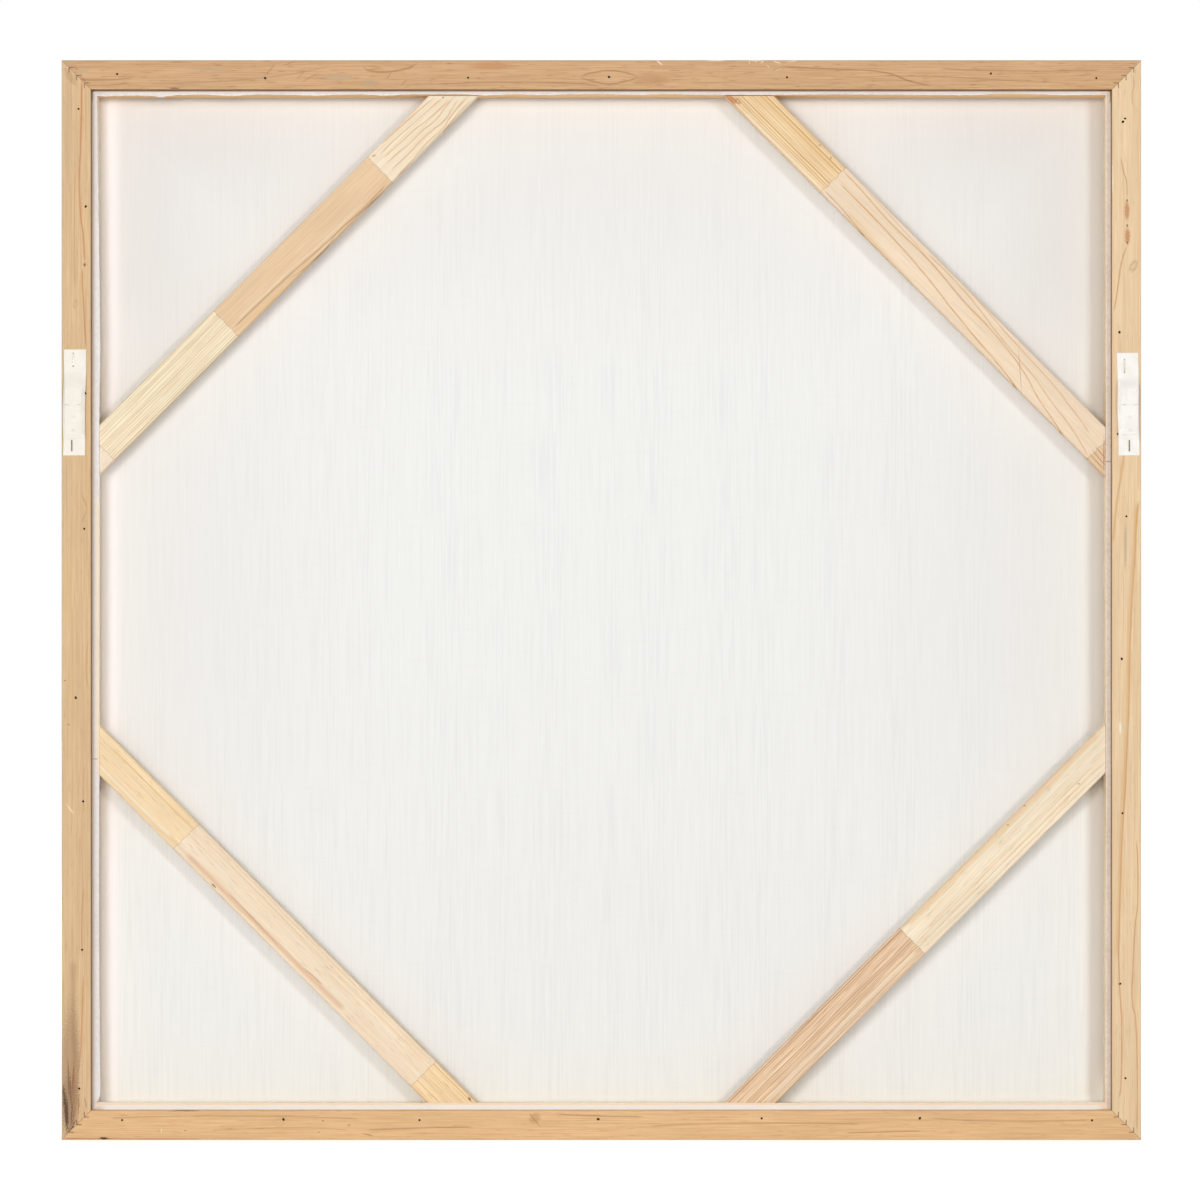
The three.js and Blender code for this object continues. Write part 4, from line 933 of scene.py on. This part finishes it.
class CANVAS_OT_sink_nails(bpy.types.Operator):
    """Adds the sunk nail heads between the modelled nails"""

    bl_idname = "canvas.sink_nails"
    bl_label = "Sunk nail heads"

    def execute(self, context):
        settings = context.scene.canvas_timber
        draw = random.Random(5)
        shape = bmesh.new()
        corners = 14
        # A head's rings from its rim inwards: shares of its size, and heights in millimetres
        profile = ((1.3, 0.01), (1.12, 0.1), (0.94, 0.09), (0.86, 0.02), (0.4, 0.035))
        for side, shares in SUNK_BRADS.items():
            for along_share, landing_share in shares:
                middle = on_side(side, along_share * HALF, LANDING_INSET + landing_share * LANDING_WIDTH,
                                 BACK / MM)
                turn = draw.uniform(0, math.pi)
                size = draw.uniform(0.9, 1.08)
                rings = []
                for reach, height in profile:
                    ring = []
                    for corner in range(corners):
                        angle = 2 * math.pi * corner / corners
                        wobble = 1 + draw.uniform(-0.05, 0.05)
                        right = reach * wobble * size * settings.nail_length / 2 * math.cos(angle)
                        up = reach * wobble * size * settings.nail_width / 2 * math.sin(angle)
                        offset = Vector((right * math.cos(turn) - up * math.sin(turn), -height * MM,
                                         right * math.sin(turn) + up * math.cos(turn)))
                        ring.append(shape.verts.new(middle + offset))
                    rings.append(ring)
                skin(shape, rings)
                shape.faces.new(rings[-1])
                shape.faces.new(reversed(rings[0]))
        mesh = finished_mesh("sunk_nail_heads", shape)
        add_piece("sunk_nail_heads", mesh, sunk_steel("sunk_nail_heads", (44, 26, 14), (22, 14, 8)))
        return {"FINISHED"}


class CANVAS_OT_glue_mitres(bpy.types.Operator):
    """Fills the frame's four mitres with their thin dark glue line"""

    bl_idname = "canvas.glue_mitres"
    bl_label = "Mitre glue lines"

    def execute(self, context):
        rail_low, rail_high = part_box("frame_rail_bottom")
        leg = (rail_high.z - rail_low.z) / MM
        depth = (rail_high.y - rail_low.y) / MM
        # The glue keeps this far inside the section's outline, and is this thick to each side of the mitre
        margin = 0.12
        half_thickness = 0.13
        outline = ((margin, margin), (leg - margin, margin), (leg - margin, LEG_DEPTH - margin),
                   (WALL_WIDTH - margin, LEG_DEPTH - margin), (WALL_WIDTH - margin, depth - margin),
                   (margin, depth - margin))
        shape = bmesh.new()
        for right, up in ((-1, -1), (1, -1), (1, 1), (-1, 1)):
            corner = Vector((CAD_HIGH.x if right > 0 else CAD_LOW.x, BACK,
                             CAD_HIGH.z if up > 0 else CAD_LOW.z))
            slip = Vector((up, 0, -right)).normalized() * half_thickness * MM
            ends = []
            for way in (-1, 1):
                ends.append([
                    shape.verts.new(corner + Vector((-right * inset, y, -up * inset)) * MM + slip * way)
                    for inset, y in outline])
            shape.faces.new(ends[0])
            shape.faces.new(reversed(ends[1]))
            skin(shape, ends)
        finish = Finish("dark_glue", 0.7, 0.2)
        crumbs = finish.noise(finish.places(), 3, 0.9)
        finish.bump(crumbs, 0.0001, 0.4)
        glue = finish.colour(finish.mixed(finish.spread(crumbs, 0.4, 0.66), tone(92, 62, 40),
                                          tone(150, 112, 76)))
        add_piece("mitre_glue_lines", finished_mesh("mitre_glue_lines", shape, smooth=False), glue)
        return {"FINISHED"}


# Cloth

THREAD_PITCH = 0.55


def weave(finish, place):
    """Crossed threads, upright slubs and level slubs, each from 0 to 1."""
    x, _, z = finish.parts(place)
    warp, weft = [finish.calc("ABSOLUTE", finish.calc("SINE", finish.times(way, math.pi / THREAD_PITCH)))
                  for way in (x, z)]
    upright = finish.noise(finish.joined(finish.times(x, 0.55), 0.0, finish.times(z, 0.012)), 3)
    level = finish.noise(finish.joined(finish.times(x, 0.02), 7.0, finish.times(z, 0.7)), 2)
    return finish.times(warp, weft), upright, level


def add_smudge(finish, place, colour, ink, middle, size, strength, rim):
    """A soft oval on the back: its middle's x and z, its half width and half height, and its rim."""
    offset = finish.vector("SUBTRACT", place, (middle[0], 0, middle[1]))
    flat = finish.scaled(offset, (1 / size[0], 0, 1 / size[1]))
    return finish.over(colour, ink, finish.vector("LENGTH", flat), 0.4, rim, strength, 0.0)


def bare_cloth(settings):
    """The bare inner side: fine upright slubs, faint level ones, and painted shade, warm next to the bars and
    grey towards the sides and upper corners.
    """
    finish = Finish("bare_cloth", 0.92, 0.15)
    finish.shader.inputs["Sheen Weight"].default_value = 0.08
    place = finish.places()
    threads, upright, level = weave(finish, place)
    x, _, z = finish.parts(place)
    reach = reach_from_middle(finish, place)
    colour = finish.over(tuple(settings.back_tone), tone(232, 231, 228), threads, 0.0, 0.7, 0.2, 0.0)
    groups = finish.noise(finish.joined(finish.times(x, 0.03), 3.0, 0.0), 2)
    slubs = finish.times(finish.spread(upright, 0.4, 0.66, 0.0, 0.52),
                         finish.spread(groups, 0.4, 0.6, 0.45, 1.0))
    colour = finish.mixed(slubs, colour, tone(232, 232, 231))
    colour = finish.over(colour, tone(230, 228, 225), level, 0.55, 0.75, 0.0, 0.15)
    flecks = finish.noise(finish.scaled(place, (1.3, 1.3, 0.25)), 2)
    colour = finish.over(colour, tone(214, 208, 198), flecks, 0.7, 0.8, 0.0, 0.3)
    # Painted shade: greyer towards the sides and into the upper corners, but not at the foot
    shade_dimmed = finish.over(colour, tone(236, 232, 228), z, FOOT + 100, FOOT + 500, 0.0, 0.5)
    colour = finish.over(colour, shade_dimmed, reach, 180, 460)
    sideways = finish.calc("ABSOLUTE", finish.minus(x, MIDDLE_X))
    corners = finish.times(finish.spread(reach, 330, 450, 0.0, 0.34),
                           finish.spread(z, HEAD - 330, HEAD - 180),
                           finish.spread(sideways, 220, 400))
    colour = finish.mixed(corners, colour, tone(221, 214, 209))
    # Painted shadow beside the right bar, and painted light beside the left bar that lifts its shadow
    colour = finish.over(colour, tone(222, 215, 207), x, MIDDLE_X + BAR_REACH - 20, MIDDLE_X + BAR_REACH - 12,
                         0.0, 0.75)
    colour = finish.over(colour, tone(252, 246, 246), x, MIDDLE_X - BAR_REACH + 10, MIDDLE_X - BAR_REACH + 24,
                         0.8, 0.0)
    # Painted shade next to the bars, where their shadows fall: strong on the right and at the top, weak and
    # warm on the left and at the foot
    raised = finish.spread(z, FOOT + BAR_INSET + 2, FOOT + BAR_INSET + 38)
    bar_shade = finish.mixed(raised, tone(250, 247, 242), tone(213, 202, 191))
    leftmost = finish.spread(x, MIDDLE_X - BAR_REACH + 6, MIDDLE_X - BAR_REACH + 36, 1.0, 0.0)
    bar_shade = finish.mixed(finish.times(leftmost, raised), bar_shade, tone(250, 238, 222))
    colour = finish.over(colour, bar_shade, reach, BAR_REACH - 12, BAR_REACH + 1, 0.0, 0.6)
    finish.bump(upright, 0.0004, 0.15)
    return finish.colour(colour)


def add_painted_lit_edge(finish, x, z, reach, colour):
    """Painted light on the cut edge: a pale yellow band, the colour of the lit bar face beside it, at the
    foot and up the left.
    """
    foot = finish.spread(z, FOOT + BAR_INSET + 2.5, FOOT + BAR_INSET + 4, 1.0, 0.0)
    at_foot = finish.spread(finish.calc("ABSOLUTE", finish.minus(reach, BAR_REACH - 0.8)), 0.3, 1.5, 0.85,
                            0.0)
    half_way = finish.times(
        finish.spread(z, FOOT + 335, FOOT + 360), finish.spread(z, FOOT + 590, FOOT + 615, 1.0, 0.0),
        finish.spread(x, LEFT + BAR_INSET + 2.5, LEFT + BAR_INSET + 4, 1.0, 0.0),
        finish.spread(reach, BAR_REACH - 0.3, BAR_REACH + 0.7, 0.85, 0.0))
    colour = finish.mixed(finish.times(foot, at_foot), colour, tone(252, 222, 174))
    return finish.mixed(half_way, colour, tone(252, 232, 200))


def primed_cloth(settings):
    """The primed outer side: white ground over the weave, with painted shade where the rear leg meets the
    turned edge.
    """
    finish = Finish("primed_cloth", 0.78, 0.25)
    place = finish.places()
    threads, upright, level = weave(finish, place)
    x, y, z = finish.parts(place)
    reach = reach_from_middle(finish, place)
    strokes = finish.noise(finish.scaled(place, (0.03, 0.03, 0.25)), 3)
    colour = finish.over(tuple(settings.front_tone), tone(238, 237, 232), strokes, 0.4, 0.65, 0.0, 0.5)
    colour = finish.over(colour, tone(226, 225, 220), threads, 0.0, 0.7, 0.25, 0.0)
    # The turned edge, with painted shade towards the rear leg on three sides, mottled on the right
    raised = finish.spread(z, FOOT + BAR_INSET + 2, FOOT + BAR_INSET + 38)
    on_left = finish.spread(x, LEFT + BAR_INSET + 2, LEFT + BAR_INSET + 10, 1.0, 0.0)
    on_right = finish.spread(x, RIGHT - BAR_INSET - 10, RIGHT - BAR_INSET - 2)
    on_top = finish.spread(z, HEAD - BAR_INSET - 10, HEAD - BAR_INSET - 2)
    mottles = finish.spread(finish.noise(finish.scaled(place, (0.25, 0.25, 0.25)), 3), 0.4, 0.62, 0.0, 0.25)
    turned = finish.mixed(finish.times(mottles, raised), tone(244, 241, 239), tone(226, 206, 190))
    left_shade = finish.times(on_left, finish.spread(reach, BAR_REACH - 1.5, LEG_REACH + 0.1))
    turned = finish.mixed(left_shade, turned, tone(224, 206, 190))
    top_shade = finish.times(on_top, finish.spread(reach, BAR_REACH + 0.5, LEG_REACH - 0.1))
    turned = finish.mixed(top_shade, turned, tone(231, 219, 206))
    right_shade = finish.mixed(mottles, tone(248, 230, 212), tone(226, 187, 156))
    turned = finish.mixed(finish.times(on_right, 0.85), turned, right_shade)
    # Painted shade: a brown line in the crack under the rear leg, on the top and the right
    crack_shade = finish.plus(
        finish.times(on_top, finish.spread(reach, LEG_REACH - 1.3, LEG_REACH - 0.6, 0.0, 0.7)),
        finish.times(on_right, finish.spread(reach, LEG_REACH - 1.0, LEG_REACH - 0.2, 0.0, 0.45)))
    turned = finish.mixed(crack_shade, turned, INKS["brown"])
    turned = add_painted_lit_edge(finish, x, z, reach, turned)
    for tick in CLOTH_TICKS:
        turned = add_smudge(finish, place, turned, INKS["brown"], in_photo(tick, CLOTH_BEHIND), (3.2, 0.6),
                            0.6, 1.2)
    behind = finish.spread(y, MIDDLE.y / MM - 6, MIDDLE.y / MM - 2, 1.0, 0.0)
    colour = finish.mixed(behind, colour, turned)
    finish.bump(finish.plus(upright, finish.times(level, 0.6)), 0.0004, 0.3)
    return finish.colour(colour)


# How far from the frame's outside the rows of points lie on the turned-under cloth, all under the rear leg.
# From the first of them inwards the points are finer, for the wavy cut edge.
FINE_INSET = 26.5
FLAT_INSETS = (24.0, 17.0)

# How far the cut edge strays from its line to each side, with a wave's length over 2 pi, and how far its
# single threads do. The ripples are those of the face next to the bars.
STRAYS = ((0.12, 2.1), (0.1, 0.9))
FRAY = 0.09
RIPPLE = 0.06


class CANVAS_OT_stretch_cloth(bpy.types.Operator):
    """Stretches the cloth over the bars and turns it under, with its wavy cut edge on the back"""

    bl_idname = "canvas.stretch_cloth"
    bl_label = "Canvas"

    # Faces along each side, and the finer ones that each of them splits into at the cut edge
    cells = 120
    fine = 4

    def cut_edges(self):
        """Each side's cut edge, as along shares and insets from the frame's outside."""
        half_opening = HALF - BAR_INSET
        edges = {side: [(share, BAR_INSET + past) for share, past in points]
                 for side, points in CUT_EDGES.items()}
        top = []
        for pixel in TOP_CUT_EDGE:
            place = in_photo(pixel, CLOTH_BEHIND)
            top.append((-place.x / half_opening, HALF + MIDDLE_Z - place.y))
        edges["top"] = sorted(top)
        return edges

    def execute(self, context):
        settings = context.scene.canvas_cloth
        draw = random.Random(11)
        low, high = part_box("canvas")
        half_thickness = settings.thickness / MM / 2
        outside = (low.z - CAD_LOW.z) / MM + half_thickness
        back = low.y / MM + half_thickness
        front = high.y / MM - half_thickness
        # From under the rear leg round the bar's back edge, along its outer side and round its front edge
        bend = 1.9
        stations = [(inset, back) for inset in FLAT_INSETS]
        for step in range(5):
            turn = math.pi / 2 * step / 4
            stations.append((outside + bend - bend * math.sin(turn), back + bend - bend * math.cos(turn)))
        for step in range(1, 6):
            stations.append((outside, back + bend + (front - back - 2 * bend) * step / 6))
        for step in range(5):
            turn = math.pi / 2 * step / 4
            stations.append((outside + bend - bend * math.cos(turn), front - bend + bend * math.sin(turn)))
        shape = bmesh.new()
        rings = []
        for inset, depth in stations:
            ring = []
            for side in SIDES:
                for cell in range(self.cells):
                    share = 2 * cell / self.cells - 1
                    ring.append(shape.verts.new(on_side(side, share * (HALF - inset), inset, depth)))
            rings.append(ring)
        skin(shape, rings)
        self.add_face(shape, rings[-1], HALF - stations[-1][0], front, settings.sag / MM)
        self.add_turned_edge(shape, rings[0], back, settings.curl / MM, draw)
        mesh = finished_mesh("canvas_cloth", shape)
        cloth = add_piece("canvas_cloth", mesh, primed_cloth(settings))
        mesh.materials.append(bare_cloth(settings))
        solid = cloth.modifiers.new("thickness", "SOLIDIFY")
        solid.thickness = settings.thickness
        solid.offset = 0
        solid.material_offset = 1
        solid.material_offset_rim = 0
        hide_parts("canvas")
        return {"FINISHED"}

    def add_face(self, shape, rim, reach, depth, sag):
        """The stretched face, which joins the last ring, sags a little and ripples next to the bars."""
        cells = self.cells
        grid = {}
        for number in range(cells):
            grid[number, 0] = rim[number]
            grid[cells, number] = rim[cells + number]
            grid[cells - number, cells] = rim[2 * cells + number]
            grid[0, cells - number] = rim[3 * cells + number]
        for column in range(1, cells):
            for row in range(1, cells):
                right = 2 * column / cells - 1
                up = 2 * row / cells - 1
                hollow = min(1.0, 12 * (1 - right * right)) * min(1.0, 12 * (1 - up * up))
                hollow *= (1 - right * right) * (1 - up * up)
                ripple = RIPPLE * math.sin(37 * right) * (abs(up) ** 8)
                ripple += RIPPLE * math.sin(41 * up) * (abs(right) ** 8)
                y = (depth - sag * hollow - ripple * min(1.0, 8 * (1 - max(abs(right), abs(up))))) * MM
                grid[column, row] = shape.verts.new(
                    (MIDDLE.x + right * reach * MM, y, MIDDLE.z + up * reach * MM))
        for column in range(cells):
            for row in range(cells):
                shape.faces.new((grid[column, row], grid[column + 1, row], grid[column + 1, row + 1],
                                 grid[column, row + 1]))

    def add_turned_edge(self, shape, ring, depth, curl, draw):
        """The last stretch of the turned-under cloth, with more points, out to the wavy cut edge."""
        edges = self.cut_edges()
        fine_cells = self.cells * self.fine
        rows = (0.0, 0.35, 0.7, 0.9, 1.0)
        phase = [draw.uniform(0, 6.28) for _ in range(8)]
        lines = []
        for row_share in rows:
            line = []
            for order, side in enumerate(SIDES):
                for cell in range(fine_cells):
                    share = 2 * cell / fine_cells - 1
                    cut = through(edges[side], share)
                    place = (order * 2 + share) * HALF
                    cut += sum(far * math.sin(place / length + start)
                               for (far, length), start in zip(STRAYS, phase))
                    cut += draw.uniform(-FRAY, FRAY) if row_share == 1.0 else 0.0
                    inset = FINE_INSET + (cut - FINE_INSET) * row_share
                    before = through(edges[SIDES[order - 1]], 1.0)
                    corner = before if cell == 0 and row_share == 1.0 else inset
                    wave = 0.6 + 0.4 * math.sin(place / 23 + phase[2]) + 0.3 * math.sin(place / 9 + phase[3])
                    lift = curl * row_share ** 3 * wave
                    along = share * (HALF - (corner if cell == 0 else inset))
                    line.append(shape.verts.new(on_side(side, along, inset, depth - max(0.0, lift))))
            lines.append(line)
        total = 4 * fine_cells
        skin(shape, lines)
        count = 4 * self.cells
        for number in range(count):
            after = (number + 1) % count
            start = number * self.fine
            run = [lines[0][(start + step) % total] for step in range(self.fine + 1)]
            shape.faces.new((ring[number], ring[after], *reversed(run)))


# Hanger covers


def cover_stuff(name, tint, eye, staples):
    """Soft cream strip: faint fibres, smudges where the ring and screws press through, and staple holes."""
    finish = Finish(name, 0.8, 0.2)
    finish.shader.inputs["Sheen Weight"].default_value = 0.1
    place = finish.places()
    fibres = finish.noise(finish.scaled(place, (1.6, 1.6, 0.35)), 4)
    clouds = finish.noise(place, 2, 0.09)
    colour = finish.over(tint, tone(240, 234, 219), clouds, 0.4, 0.66, 0.0, 0.35)
    colour = finish.over(colour, tone(226, 216, 196), fibres, 0.5, 0.75, 0.0, 0.35)
    right, up = staples[0]
    beyond = STAPLE_CROWN / 2 + 0.7
    pressed = tone(182, 168, 148)
    pierced = tone(96, 84, 72)
    for smudge_right, smudge_up, size, strength, ink in (
            (-5.6, 0.6, (2.4, 0.7), 0.4, pressed), (5.8, 0.6, (2.4, 0.7), 0.3, pressed),
            (0.3, SCREWS[0], (2.0, 1.6), 0.16, pressed), (0.3, SCREWS[1], (2.0, 1.6), 0.22, pressed),
            (right, up + beyond, (0.7, 0.7), 0.85, pierced), (right, up - beyond, (0.8, 0.8), 0.85, pierced)):
        middle = (eye.x / MM + smudge_right, eye.z / MM + smudge_up)
        colour = add_smudge(finish, place, colour, ink, middle, size, strength, 1.5)
    finish.bump(fibres, 0.0003, 0.25)
    return finish.colour(colour)


# Each strip's width, its ends from the ring's eye, and how far its ends and staples lie to the right of it
COVERS = {
    "left": {"width": 20.7, "above": 52.9, "below": 47.1, "top_shift": 1.8, "bottom_shift": 0.6,
             "staples": ((0.0, 43.1), (-1.3, -37.8))},
    "right": {"width": 19.9, "above": 49.6, "below": 47.1, "top_shift": -1.9, "bottom_shift": -0.7,
              "staples": ((-4.9, 37.4), (-0.3, -37.8))},
}
STAPLE_CROWN = 10.6

# The screws' places up from the ring's eye, and how far the hanger reaches to each side of it
SCREWS = (-11.0, -23.5)
HANGER_REACH = 6.9


class CANVAS_OT_lay_covers(bpy.types.Operator):
    """Lays the soft strips over the two hangers, pinched flat at their staples"""

    bl_idname = "canvas.lay_covers"
    bl_label = "Hanger covers"

    # Faces across and along a strip
    columns = 30
    rows = 150

    def execute(self, context):
        settings = context.scene.canvas_covers
        for side, cover in COVERS.items():
            ring_low, ring_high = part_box("hanger_ring_" + side)
            cover_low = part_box("hanger_cover_" + side)[0]
            eye = Vector(((ring_low.x + ring_high.x) / 2, BACK, cover_low.z + cover["below"] * MM))
            tint = tuple(settings.left_tone if side == "left" else settings.right_tone)
            stuff = cover_stuff("cover_strip_" + side, tint, eye, cover["staples"])
            peak = (BACK - cover_low.y - settings.thickness) / MM
            mesh = self.strip(side, cover, eye, peak, settings.thickness / MM)
            strip = add_piece("cover_strip_" + side, mesh, stuff)
            solid = strip.modifiers.new("thickness", "SOLIDIFY")
            solid.thickness = settings.thickness
            solid.offset = 0
            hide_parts("hanger_cover_" + side)
        return {"FINISHED"}

    def strip(self, side, cover, eye, peak, thickness):
        draw = random.Random(3 if side == "left" else 4)
        phase = [draw.uniform(0, 6.28) for _ in range(6)]
        # Up from the eye to where it lies flat again, and how high its underside is there and over the screws
        flat = cover["staples"][0][1] - STAPLE_CROWN
        foot = 0.3
        over_screws = 3.6
        # The strip's middle line from its lower end to its upper one: places up from the eye, and heights
        ridge = ((-cover["below"], foot), (-32.5, foot), (-28.5, 2.2), (-26.4, over_screws),
                 (-8.1, over_screws), (-2.4, peak), (13.5, peak), (flat, foot), (cover["above"], foot))
        shape = bmesh.new()
        grid = []
        for row in range(self.rows + 1):
            share = row / self.rows
            up = (cover["above"] + cover["below"]) * share - cover["below"]
            turn = 2 * math.pi * share
            centre = cover["bottom_shift"] + (cover["top_shift"] - cover["bottom_shift"]) * share
            left = centre - cover["width"] / 2 + 0.3 * math.sin(1.75 * turn)
            right = centre + cover["width"] / 2 + 0.3 * math.cos(1.2 * turn)
            # The left strip has a small notch in its right side
            right -= 0.7 * math.exp(-((up - 12.0) / 1.3) ** 2) if side == "left" else 0.0
            height = through(ridge, up)
            line = []
            for column in range(self.columns + 1):
                across = left + (right - left) * column / self.columns
                beyond = max(0.0, abs(across) - HANGER_REACH)
                room = (right if across > 0 else -left) - HANGER_REACH
                droop = min(1.0, beyond / max(room, 0.1))
                edge = 0.6 if room < 4 else 0.35
                lift = foot + (height - foot) * (1 - (1 - edge) * droop * droop * (3 - 2 * droop))
                for screw in SCREWS:
                    away = math.hypot(across, up - screw)
                    lift += 0.3 * max(0.0, 1 - (away / 3.4) ** 2)
                wave = math.sin(up / 6.5 + phase[0]) * math.sin(across / 5 + phase[1])
                lift += 0.1 * wave * min(1, height / 3)
                lift += 0.04 * math.sin(up / 2.3 + phase[2] + across / 4)
                place = eye + Vector((across * MM, -(max(foot, lift) + thickness / 2) * MM, up * MM))
                line.append(shape.verts.new(place))
            grid.append(line)
        skin(shape, grid, closed=False)
        return finished_mesh("cover_strip_" + side, shape)


# Studio


# From the floor's middle to its sides, and from the frame down to it, in metres
FLOOR_REACH = 14
FLOOR_GAP = 0.0002

# Each lamp's place and side in metres, and the setting with its power
LAMPS = (
    ("right_lamp", (3.5, -8.0, 1.7), 0.9, "right_power"),
    ("left_lamp", (-1.3, -4.5, 1.2), 0.8, "left_power"),
    ("front_lamp", (-1.2, -6.5, 1.25), 2.4, "front_power"),
    ("far_right_lamp", (2.4, 3.2, 1.6), 2.0, "far_power"),
    ("far_left_lamp", (-2.4, 3.2, 1.6), 2.0, "far_power"),
)


class CANVAS_OT_build_studio(bpy.types.Operator):
    """Adds the camera, the soft lamps, the surroundings and the pale floor"""

    bl_idname = "canvas.build_studio"
    bl_label = "Studio"

    def execute(self, context):
        settings = context.scene.canvas_studio
        self.add_camera(context, settings.camera_distance)
        for name, place, size, power in LAMPS:
            self.add_lamp(context, name, place, size, getattr(settings, power))
        self.add_surroundings(context, settings.surroundings)
        self.add_floor(context)
        return {"FINISHED"}

    def add_camera(self, context, distance):
        """The photograph is square and straight on, a little left of the frame's middle."""
        camera = bpy.data.cameras.new("camera")
        across = PHOTO_SIZE * PIXEL * MM
        camera.sensor_width = 36
        camera.lens = camera.sensor_width * distance / across
        camera.clip_end = 100
        stand = bpy.data.objects.new("camera", camera)
        left = (PHOTO_SIZE / 2 - PHOTO_MIDDLE.x) * PIXEL * MM
        stand.location = (MIDDLE.x + left, BACK - distance, MIDDLE.z)
        stand.rotation_euler = (math.pi / 2, 0, 0)
        context.scene.collection.objects.link(stand)
        context.scene.camera = stand

    def add_lamp(self, context, name, place, size, power):
        lamp = bpy.data.lights.new(name, "AREA")
        lamp.shape = "SQUARE"
        lamp.size = size
        lamp.energy = power
        stand = bpy.data.objects.new(name, lamp)
        stand.location = place
        aim = MIDDLE - stand.location
        stand.rotation_euler = aim.to_track_quat("-Z", "Y").to_euler()
        context.scene.collection.objects.link(stand)

    def seen_directly(self, tree):
        """1 for what the camera sees, also in metal and through glass, and 0 for light on the object."""
        path = tree.nodes.new("ShaderNodeLightPath")
        total = path.outputs["Is Camera Ray"]
        for name in ("Is Glossy Ray", "Is Transmission Ray"):
            either = tree.nodes.new("ShaderNodeMath")
            either.operation = "MAXIMUM"
            tree.links.new(total, either.inputs[0])
            tree.links.new(path.outputs[name], either.inputs[1])
            total = either.outputs[0]
        return total

    def add_surroundings(self, context, strength):
        world = bpy.data.worlds.new("surroundings")
        world.use_nodes = True
        tree = world.node_tree
        background = tree.nodes["Background"]
        background.inputs["Color"].default_value = (1, 1, 1, 1)
        level = tree.nodes.new("ShaderNodeMapRange")
        level.inputs["To Min"].default_value = strength
        level.inputs["To Max"].default_value = 1.0
        tree.links.new(self.seen_directly(tree), level.inputs["Value"])
        tree.links.new(level.outputs["Result"], background.inputs["Strength"])
        context.scene.world = world

    def add_floor(self, context):
        shape = bmesh.new()
        bmesh.ops.create_grid(shape, x_segments=24, y_segments=24, size=FLOOR_REACH)
        bmesh.ops.translate(shape, vec=(0, 0, CAD_LOW.z - FLOOR_GAP), verts=shape.verts)
        mesh = bpy.data.meshes.new("floor")
        shape.to_mesh(mesh)
        shape.free()
        finish = Finish("pale_floor", 0.9, 0.1)
        place = finish.places()
        x, y, _ = finish.parts(place)
        # Less glow close behind the object, where its shadow falls, and full glow far away
        near = finish.spread(y, -20, 150, 0.54, 0.36)
        near = finish.spread(finish.calc("ABSOLUTE", x), 400, 560, near, 0.56)
        glow = finish.spread(finish.vector("LENGTH", place), 700, 2600, near, 0.82)
        finish.feed(finish.shader.inputs["Emission Strength"],
                    finish.times(self.seen_directly(finish.tree), glow))
        finish.shader.inputs["Emission Color"].default_value = (1, 1, 1, 1)
        mesh.materials.append(finish.colour(finish.mixed(
            finish.noise(place, 2, 0.02), tone(238, 238, 238), tone(243, 243, 243))))
        floor = bpy.data.objects.new("floor", mesh)
        context.scene.collection.objects.link(floor)


class CANVAS_PT_panel(bpy.types.Panel):
    """Lists the steps and the sizes and colours that they read"""

    bl_idname = "CANVAS_PT_panel"
    bl_label = "Framed canvas"
    bl_space_type = "VIEW_3D"
    bl_region_type = "UI"
    bl_category = "Canvas"

    def draw(self, context):
        for group in SETTINGS:
            box = self.layout.box()
            for name in SETTINGS[group].__annotations__:
                box.prop(getattr(context.scene, group), name)
        for step in STEPS:
            self.layout.operator(step.bl_idname)


SETTINGS = {
    "canvas_timber": TimberSettings,
    "canvas_cloth": ClothSettings,
    "canvas_covers": CoverSettings,
    "canvas_studio": StudioSettings,
}
STEPS = (
    CANVAS_OT_build_studio,
    CANVAS_OT_dress_rails,
    CANVAS_OT_dress_bars,
    CANVAS_OT_dress_braces,
    CANVAS_OT_dress_metal,
    CANVAS_OT_sink_nails,
    CANVAS_OT_glue_mitres,
    CANVAS_OT_stretch_cloth,
    CANVAS_OT_lay_covers,
)


def register():
    for kind in (*SETTINGS.values(), *STEPS, CANVAS_PT_panel):
        bpy.utils.register_class(kind)
    for name, kind in SETTINGS.items():
        setattr(bpy.types.Scene, name, PointerProperty(type=kind))


def unregister():
    for name in SETTINGS:
        delattr(bpy.types.Scene, name)
    for kind in (CANVAS_PT_panel, *reversed(STEPS), *reversed(SETTINGS.values())):
        bpy.utils.unregister_class(kind)


def main():
    register()
    bpy.context.scene.view_settings.view_transform = "Standard"
    for step in STEPS:
        group, name = step.bl_idname.split(".")
        getattr(getattr(bpy.ops, group), name)()


if __name__ == "__main__":
    main()
